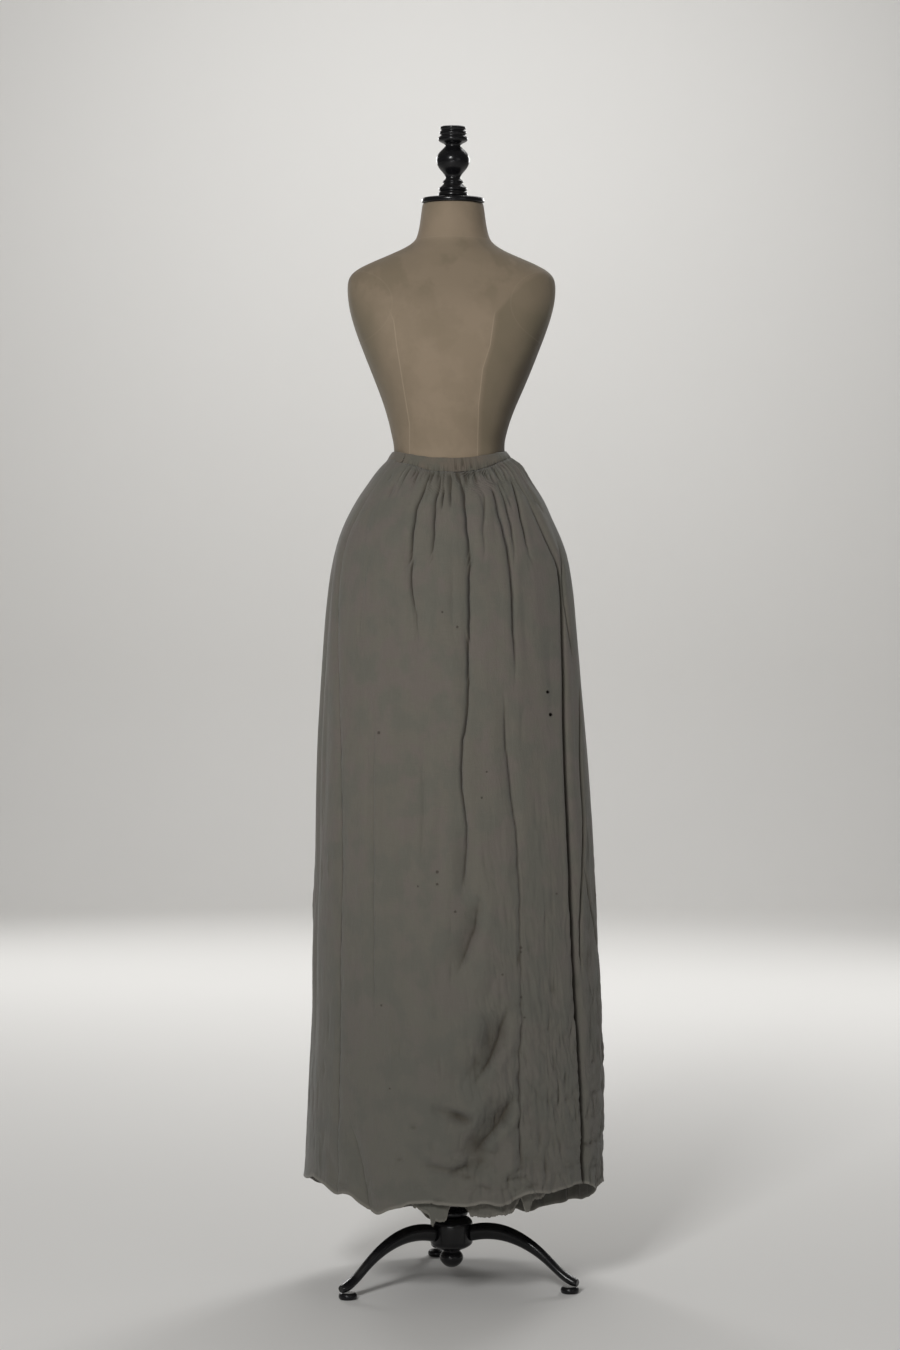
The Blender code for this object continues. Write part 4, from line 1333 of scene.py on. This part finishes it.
class Effects:
    """Effects that more than one surface uses, each a node group built once."""

    def __init__(self) -> None:
        """Build the groups."""
        self.weave = self.build_weave()
        self.stains = self.build_stains()
        self.fibres = self.build_fibres()
        self.wear = self.build_wear()

    @staticmethod
    def start(name: str, values: tuple, outputs: tuple) -> tuple:
        """Start a group that is given a vector and a few values.

        Args:
            name: the group's name.
            values: names of its inputs that are values.
            outputs: names of its outputs, all values.

        Returns:
            The group's graph, its vector, its input node's sockets and its output node.
        """
        group = bpy.data.node_groups.new(name, "ShaderNodeTree")
        group.interface.new_socket(name="Vector", in_out="INPUT", socket_type="NodeSocketVector")
        for in_out, labels in (("INPUT", values), ("OUTPUT", outputs)):
            for label in labels:
                group.interface.new_socket(name=label, in_out=in_out, socket_type="NodeSocketFloat")
        given = group.nodes.new("NodeGroupInput").outputs
        return Graph(group), given["Vector"], given, group.nodes.new("NodeGroupOutput")

    def build_weave(self) -> Tree:
        """A plain weave: threads over and under each other, of uneven thickness."""
        graph, vector, given, out = self.start("plain_weave", ("Pitch",), ("Height", "Slub"))
        slub = graph.noise(graph.stretched(vector, (900, 60, 60)), 1.0, 2.0)
        cross = graph.noise(graph.stretched(vector, (60, 900, 60)), 1.0, 2.0)
        waves = []
        for along, wander in zip(graph.axes(vector), (slub, cross)):
            turns = graph.math("MULTIPLY_ADD", wander, 0.8, graph.math("DIVIDE", along, given["Pitch"]))
            waves.append(graph.math("SINE", graph.times(turns, math.pi)))
        height = graph.math("MULTIPLY_ADD", graph.times(*waves), 0.5, 0.5)
        graph.feed(out, {"Height": height, "Slub": graph.times(slub, cross)})
        return graph.tree

    def build_stains(self) -> Tree:
        """Faint stains: warm and cool clouds, and long streaks down the cloth."""
        graph, vector, given, out = self.start("faint_stains", ("Scale",), ("Warm", "Cool", "Streak"))
        warm = graph.noise(vector, given["Scale"], 4.0, 0.55)
        cool = graph.noise(graph.stretched(vector, (1, 1, 0.8), (3.1, 1.7, 0.4)), given["Scale"], 4.0, 0.5)
        streak = graph.noise(graph.stretched(vector, (1, 1, 0.09), (0.2, 0.5, 0.1)), 55.0, 3.0, 0.55)
        graph.feed(out, {
            "Warm": graph.ramp(warm, 0.44, 0.6), "Cool": graph.ramp(cool, 0.46, 0.62),
            "Streak": graph.ramp(streak, 0.3, 0.72)})
        return graph.tree

    def build_fibres(self) -> Tree:
        """Fine crumple and loose fibres, for a Bump node."""
        graph, vector, _, out = self.start("cloth_fibres", (), ("Height",))
        crumple = graph.noise(graph.stretched(vector, (1, 1, 0.35)), 120.0, 4.0, 0.6)
        lint = graph.noise(vector, 700.0, 2.0, 0.5)
        graph.feed(out, {"Height": graph.math("MULTIPLY_ADD", lint, 0.25, crumple)})
        return graph.tree

    def build_wear(self) -> Tree:
        """Dust and small scuffs on a hard surface."""
        graph, vector, _, out = self.start("dust_and_scuffs", (), ("Dust", "Scuff"))
        up = graph.axes(graph.node("NewGeometry").outputs["Normal"])[2]
        cloud = graph.ramp(graph.noise(vector, 38.0, 4.0), 0.35, 0.75)
        scuff = graph.ramp(graph.noise(vector, 240.0, 5.0, 0.7), 0.62, 0.78)
        graph.feed(out, {"Dust": graph.times(graph.ramp(up, 0.1, 0.95), cloud), "Scuff": scuff})
        return graph.tree


@dataclass(frozen=True)
class Finish:
    """What every finish has: a name, its shader's fixed values and the way its nodes are laid."""

    name: str

    def start(self, **fixed: object) -> tuple:
        """Make the material and set the values that are the same all over it.

        Returns:
            The material, its graph, its Principled BSDF and Object coordinates.
        """
        made = bpy.data.materials.new(self.name)
        made.use_nodes = True
        shader = made.node_tree.nodes["Principled BSDF"]
        for label, value in fixed.items():
            shader.inputs[label.replace("_", " ")].default_value = value
        graph = Graph(made.node_tree)
        return made, graph, shader, graph.place()


@dataclass(frozen=True)
class ClothFinish(Finish):
    """Worn grey woven cloth, matt, with faint stains, small marks and moth holes, painted shade deep in its
    folds and a painted highlight on its crests.
    """

    base: tuple
    warm: tuple
    cool: tuple
    # The pale colour lightens the hem's edge and is also a painted highlight on crests and ridges.
    pale: tuple = (0.23, 0.215, 0.185, 1.0)
    # Darkens the cloth towards the hem: partly soiling, partly painted shade.
    hem_shade_and_soil: tuple = (0.104, 0.102, 0.088, 1.0)
    # Painted shade deep in folds, creases and gathers.
    painted_crease_shade: tuple = (0.037, 0.028, 0.017, 1.0)
    mark: tuple = (0.035, 0.026, 0.02, 1.0)
    hem_shade_and_wear: bool = True
    pitch: float = 0.00075
    holes: tuple = ()
    marks: tuple = ()

    def build(self, effects: Effects) -> Surface:
        """Lay the cloth's nodes."""
        made, graph, shader, place = self.start(
            Metallic=0.0, Sheen_Weight=0.18, Sheen_Roughness=0.6, Specular_IOR_Level=0.18)
        threads = graph.node("UVMap", uv_map="threads").outputs[0]
        stains = graph.use(effects.stains, Vector=place, Scale=26.0)
        weave = graph.use(effects.weave, Vector=threads, Pitch=self.pitch)
        fibres = graph.use(effects.fibres, Vector=place)
        colour = graph.mix(stains["Warm"], self.base, self.warm)
        colour = graph.mix(stains["Cool"], colour, self.cool)
        tone = graph.times(graph.spread(stains["Streak"], 0.975, 1.02),
                           graph.spread(weave["Height"], 0.86, 1.08))
        tone = graph.times(tone, graph.ramp(weave["Slub"], 0.1, 0.45, 0.96, 1.05))
        colour = graph.shade(colour, tone)
        if self.hem_shade_and_wear:
            # Darker towards the hem in blotchy clouds, partly soiling and partly painted shade of light
            # falling off downward; then a paler line along the hem's edge.
            above = graph.node("Attribute", attribute_name="above_hem").outputs["Fac"]
            hem_darkening_mask = graph.times(graph.ramp(above, 0.0, 0.72, 0.88, 0.0),
                                 graph.spread(stains["Cool"], 0.75, 1.0))
            colour = graph.mix(hem_darkening_mask, colour, self.hem_shade_and_soil)
            colour = graph.mix(graph.ramp(above, 0.0012, 0.006, 0.6, 0.0), colour, self.pale)
        # Painted highlight on crests and proud ridges, painted shade deep in folds and creases.
        crevice = graph.node("Attribute", attribute_name="crevice").outputs["Fac"]
        colour = graph.mix(graph.ramp(crevice, -0.35, -0.03, 0.5, 0.0), colour, self.pale)
        colour = graph.mix(graph.ramp(crevice, 0.06, 0.95, 0.0, 0.74), colour, self.painted_crease_shade)
        if self.marks:
            colour = graph.mix(graph.times(self.spots(graph, place, self.marks), 0.75), colour, self.mark)
        if self.holes:
            gone = graph.math("GREATER_THAN", self.spots(graph, place, self.holes), 0.5)
            graph.feed(shader, {"Alpha": graph.minus(1.0, gone)})
        fine = graph.bump(0.35, 0.00035, weave["Height"])
        graph.feed(shader, {
            "Base Color": colour, "Roughness": graph.ramp(stains["Warm"], 0.0, 1.0, 0.9, 0.97),
            "Normal": graph.bump(0.42, 0.0024, fibres["Height"], Normal=fine)})
        return made

    @staticmethod
    def spots(graph: Graph, place: Socket, spots: tuple) -> Socket:
        """Mask of small ragged spots on the front, seen straight on.

        Args:
            graph: the material's graph.
            place: Object coordinates.
            spots: where they are and how large.

        Returns:
            1 inside a spot and 0 outside.
        """
        flat = graph.node("VectorMath", {0: place, 1: (1.0, 0.0, 1.0)}, operation="MULTIPLY").outputs[0]
        ragged = graph.ramp(graph.noise(place, 900.0, 2.0), 0.3, 0.7, -0.0005, 0.0005, "LINEAR")
        inside = []
        for spot in spots:
            centre = (spot.x * MM, 0.0, spot.z * MM)
            distance = graph.node("VectorMath", {0: flat, 1: centre}, operation="DISTANCE").outputs["Value"]
            distance = graph.math("ADD", distance, ragged)
            inside.append(graph.ramp(distance, spot.radius * MM * 0.6, spot.radius * MM * 1.3, 1.0, 0.0))
        front = graph.math("LESS_THAN", graph.axes(place)[1], 0.0)
        return graph.times(graph.largest(inside), front)


@dataclass(frozen=True)
class LinenFinish(Finish):
    """Tight beige linen on the form, with its thin seams, a little soiling, and painted shade down its sides
    and at its lower right edge.
    """

    base: tuple = (0.3, 0.234, 0.165, 1.0)
    stain: tuple = (0.212, 0.169, 0.114, 1.0)
    # The side colour gives cool clouds and is also a painted shade on the form's sides.
    side: tuple = (0.172, 0.145, 0.095, 1.0)
    # Painted shade at the form's lower right edge.
    dark: tuple = (0.075, 0.058, 0.038, 1.0)
    seam: tuple = (0.4, 0.325, 0.24, 1.0)
    pitch: float = 0.0007
    wrap_radius: float = 0.12
    seam_half: float = 0.0007
    seam_top: float = 1.395
    neck_height: float = 1.5085
    arm_centre: tuple = (0.150, 1.408)
    arm_size: tuple = (0.066, 0.054)

    def build(self, effects: Effects) -> Surface:
        """Lay the linen's nodes."""
        made, graph, shader, place = self.start(
            Metallic=0.0, Sheen_Weight=0.1, Sheen_Roughness=0.5, Specular_IOR_Level=0.25)
        stains = graph.use(effects.stains, Vector=place, Scale=20.0)
        x, y, z = graph.axes(place)
        round_form = graph.times(graph.math("ARCTAN2", y, x), self.wrap_radius)
        flat = graph.node("CombineXYZ", {0: round_form, 1: z}).outputs[0]
        weave = graph.use(effects.weave, Vector=flat, Pitch=self.pitch)
        left, right = (graph.minus(x, self.seam_line(graph, z, places)) for places in (LEFT_SEAM, RIGHT_SEAM))
        colour = graph.mix(graph.times(stains["Warm"], 0.28), self.base, self.stain)
        colour = graph.mix(graph.times(stains["Cool"], 0.14), colour, self.side)
        shoulders = graph.times(graph.ramp(z, 1.39, 1.45), graph.ramp(z, 1.5, 1.512, 1.0, 0.0))
        cloudy = graph.ramp(stains["Cool"], 0.0, 1.0, 0.35, 0.75)
        colour = graph.mix(graph.times(shoulders, cloudy), colour, self.stain)
        # Painted shade: the side panels beyond the long seams darken, most towards the right edge and less up
        # at the shoulders, partly as a darker panel tone.
        beyond = graph.largest([
            graph.ramp(right, -0.002, 0.008, 0.0, 0.6), graph.ramp(left, -0.05, 0.0, 0.8, 0.0)])
        beyond = graph.math("ADD", beyond, graph.ramp(right, 0.03, 0.085, 0.0, 0.6))
        colour = graph.mix(graph.times(beyond, graph.ramp(z, 1.36, 1.47, 1.0, 0.4)), colour, self.side)
        # Painted shade: the lower right edge of the form is darkened where it turns away from the light.
        past = graph.minus(right, graph.ramp(z, 1.22, 1.4, 0.024, 0.072, "LINEAR"))
        worn = graph.times(graph.ramp(past, -0.012, 0.015, 0.0, 0.85), graph.ramp(z, 1.35, 1.42, 1.0, 0.0))
        colour = graph.mix(worn, colour, self.dark)
        colour = graph.shade(colour, graph.spread(weave["Height"], 0.9, 1.06))
        seams = self.seams(graph, x, z, (left, right))
        height = graph.math("MULTIPLY_ADD", seams, 2.0, weave["Height"])
        graph.feed(shader, {
            "Base Color": graph.mix(graph.times(seams, 0.55), colour, self.seam),
            "Roughness": graph.ramp(stains["Cool"], 0.0, 1.0, 0.8, 0.9),
            "Normal": graph.bump(0.4, 0.0003, height)})
        return made

    def seams(self, graph: Graph, x: Socket, z: Socket, sides: tuple) -> Socket:
        """Mask of the form's seams: two in front and two behind, one round the neck, one at each arm.

        Args:
            graph: the material's graph.
            x: distance across.
            z: height.
            sides: distances from the two long seams.

        Returns:
            1 on a seam and 0 off it, less on the faint ones.
        """
        below = graph.ramp(z, self.seam_top - 0.02, self.seam_top + 0.01, 1.0, 0.0)
        lines = [graph.times(self.thin(graph, side), below) for side in sides]
        lines.append(graph.times(self.thin(graph, graph.minus(z, self.neck_height)), 0.3))
        aside = graph.minus(graph.math("ABSOLUTE", x), self.arm_centre[0])
        aside = graph.math("DIVIDE", aside, self.arm_size[0])
        rise = graph.math("DIVIDE", graph.minus(z, self.arm_centre[1]), self.arm_size[1])
        ring = graph.math("SQRT", graph.math("ADD", graph.times(aside, aside), graph.times(rise, rise)))
        off = graph.times(graph.minus(ring, 1.0), self.arm_size[1])
        lines.append(graph.times(self.thin(graph, off), 0.2))
        return graph.largest(lines)

    def thin(self, graph: Graph, distance: Socket) -> Socket:
        """Mask of a thin line, from the signed distance to it."""
        near = graph.math("ABSOLUTE", distance)
        return graph.ramp(near, self.seam_half * 0.4, self.seam_half * 1.6, 1.0, 0.0)

    @staticmethod
    def seam_line(graph: Graph, height: Socket, places: tuple) -> Socket:
        """Distance across of a seam at each height, bending from place to place."""
        line = places[0].x * MM
        for low, high in zip(places, places[1:]):
            across = (high.x - low.x) * MM
            step = graph.ramp(height, low.height * MM, high.height * MM, 0.0, across, "LINEAR")
            line = graph.math("ADD", step, line)
        return line


@dataclass(frozen=True)
class LacquerFinish(Finish):
    """Black lacquer on turned wood, glossy, with a little dust and a few scuffs."""

    base: tuple = (0.006, 0.006, 0.007, 1.0)
    dust: tuple = (0.09, 0.08, 0.07, 1.0)
    bare: tuple = (0.035, 0.02, 0.012, 1.0)

    def build(self, effects: Effects) -> Surface:
        """Lay the lacquer's nodes."""
        made, graph, shader, place = self.start(
            Metallic=0.0, Coat_Weight=0.22, Coat_Roughness=0.14, Specular_IOR_Level=0.22)
        wear = graph.use(effects.wear, Vector=place)
        colour = graph.mix(graph.times(wear["Scuff"], 0.35), self.base, self.bare)
        rough = graph.math("ADD", 0.25, graph.times(wear["Dust"], 0.3))
        graph.feed(shader, {
            "Base Color": graph.mix(graph.times(wear["Dust"], 0.16), colour, self.dust),
            "Roughness": graph.math("MULTIPLY_ADD", wear["Scuff"], 0.15, rough),
            "Normal": graph.bump(0.06, 0.001, graph.noise(place, 160.0, 2.0))})
        return made


@dataclass(frozen=True)
class FloorFinish(Finish):
    """Plain pale paper."""

    base: tuple = (0.8, 0.79, 0.77, 1.0)
    grey: tuple = (0.7, 0.69, 0.67, 1.0)

    def build(self) -> Surface:
        """Set the paper's colour and its faint unevenness."""
        made, graph, shader, place = self.start(Metallic=0.0, Roughness=0.95, Specular_IOR_Level=0.1)
        cloud = graph.ramp(graph.noise(place, 1.2, 3.0), 0.3, 0.7, 0.0, 0.06)
        graph.feed(shader, {"Base Color": graph.mix(cloud, self.base, self.grey)})
        return made


@dataclass
class Studio:
    """The pale paper sweep, the soft lamps and the camera at the photograph's angle."""

    camera_distance: float = 4.0
    camera_height: float = 0.880
    camera_side: float = -0.0022
    frame_height: float = 1.9575
    sensor: float = 36.0
    sweep_width: float = 18.0
    sweep_front: float = -9.0
    sweep_back: float = 6.4
    sweep_bend: float = 0.9
    sweep_top: float = 5.0
    bend_steps: int = 12
    world_colour: tuple = (1.0, 0.97, 0.92, 1.0)
    world_strength: float = 0.122
    lamps: tuple = rows(
        Lamp,
        ("key", (-0.95, -3.2, 2.4), (0.0, 0.0, 1.0), 0.7, 0.9, 65.0),
        ("fill", (2.2, -3.2, 1.3), (0.0, 0.0, 0.9), 1.6, 1.8, 5.0),
        ("low", (-0.4, -3.3, 0.2), (0.0, 0.1, 0.12), 1.6, 0.25, 7.0),
        ("behind", (0.6, 1.6, 3.4), (0.0, 2.6, 0.6), 2.4, 1.2, 32.0),
        ("wall", (0.0, 4.4, 4.0), (0.0, 7.2, 1.0), 3.4, 1.2, 78.0),
        ("back_right", (2.1, 4.0, 2.6), (0.0, 0.1, 0.8), 1.2, 1.4, 44.0),
        ("back_left", (-2.1, 4.8, 2.6), (0.0, 0.1, 0.8), 1.2, 1.4, 44.0))

    def build(self) -> None:
        """Set up everything round the object."""
        self.build_sweep()
        self.build_lamps()
        self.build_camera()
        world = bpy.data.worlds.new("soft_room")
        world.use_nodes = True
        background = world.node_tree.nodes["Background"]
        light = {"Color": self.world_colour, "Strength": self.world_strength}
        Graph(world.node_tree).feed(background, light)
        bpy.context.scene.world = world
        bpy.context.scene.view_settings.view_transform = "Standard"

    def build_sweep(self) -> None:
        """Bend a sheet of pale paper from the floor up behind the object."""
        bpy.ops.object.select_all(action="DESELECT")
        bpy.ops.mesh.primitive_plane_add(size=1.0, location=(0, 0, 0))
        paper = bpy.context.object
        paper.name = "paper_sweep"
        half = self.sweep_width / 2.0
        profile = [(self.sweep_front, 0.0), (self.sweep_back, 0.0)]
        for step in range(1, self.bend_steps + 1):
            turn = math.radians(90.0 * step / self.bend_steps)
            profile.append((self.sweep_back + self.sweep_bend * math.sin(turn),
                            self.sweep_bend * (1.0 - math.cos(turn))))
        profile.append((self.sweep_back + self.sweep_bend, self.sweep_top))
        edited = bmesh.new()
        edges = [[edited.verts.new((side, y, z)) for side in (-half, half)] for y, z in profile]
        for first, last in zip(edges, edges[1:]):
            edited.faces.new((first[0], first[1], last[1], last[0]))
        edited.to_mesh(paper.data)
        edited.free()
        paper.data.shade_smooth()
        paper.data.materials.append(FloorFinish("pale_paper").build())

    def build_lamps(self) -> None:
        """Hang the soft lamps."""
        for lamp in self.lamps:
            data = bpy.data.lights.new(lamp.name, "AREA")
            data.shape = "RECTANGLE"
            data.size = lamp.width
            data.size_y = lamp.height
            data.energy = lamp.power
            made = bpy.data.objects.new(lamp.name, data)
            made.location = lamp.place
            made.rotation_euler = (Vector(lamp.aim) - Vector(lamp.place)).to_track_quat("-Z", "Y").to_euler()
            bpy.context.collection.objects.link(made)

    def build_camera(self) -> None:
        """Look level at the object from mid height, as the photograph does."""
        data = bpy.data.cameras.new("camera")
        data.sensor_width = self.sensor
        data.lens = self.sensor * self.camera_distance / self.frame_height
        camera = bpy.data.objects.new("camera", data)
        camera.location = (self.camera_side, -self.camera_distance, self.camera_height)
        camera.rotation_euler = (math.radians(90), 0.0, 0.0)
        bpy.context.collection.objects.link(camera)
        bpy.context.scene.camera = camera


GREYS = ((0.151, 0.14, 0.115, 1.0), (0.157, 0.138, 0.12, 1.0), (0.138, 0.133, 0.11, 1.0))
GREY_CLOTH = ClothFinish("grey_cloth", *GREYS)
FRONT_CLOTH = ClothFinish("grey_cloth_front", *GREYS, holes=HOLES, marks=MARKS)
BAND_CLOTH = ClothFinish(
    "band_cloth", (0.148, 0.131, 0.103, 1.0), (0.158, 0.132, 0.104, 1.0), (0.131, 0.124, 0.099, 1.0),
    hem_shade_and_wear=False)


def build_skirt(shape: SkirtShape, effects: Effects) -> None:
    """Build the waistband and the four breadths."""
    grey = GREY_CLOTH.build(effects)
    Waistband(shape).build(BAND_CLOTH.build(effects))
    front = FRONT_CLOTH.build(effects)
    facing = HemFacing(shape, FACING_EDGE)
    Breadth("skirt_front", SEAM_LEFT, SEAM_RIGHT, 0, 312, (0.46, 1.07), shape, facing).build(front)
    Breadth("skirt_side_right", SEAM_RIGHT, SEAM_BACK_RIGHT, 0, 190, (0.25, 1.09), shape).build(grey)
    Breadth("skirt_back", SEAM_BACK_RIGHT, SEAM_BACK_LEFT, 0, 320, (0.50, 1.15), shape).build(grey)
    Breadth("skirt_side_left", SEAM_BACK_LEFT, SEAM_LEFT, 360, 170, (0.26, 1.08), shape).build(grey)


def main() -> None:
    """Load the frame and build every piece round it."""
    logging.basicConfig(level=logging.INFO)
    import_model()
    effects = Effects()
    Studio().build()
    build_skirt(SkirtShape(), effects)
    DressForm().build(LinenFinish("beige_linen").build(effects))
    Stand().build(LacquerFinish("black_lacquer").build(effects))


if __name__ == "__main__":
    main()
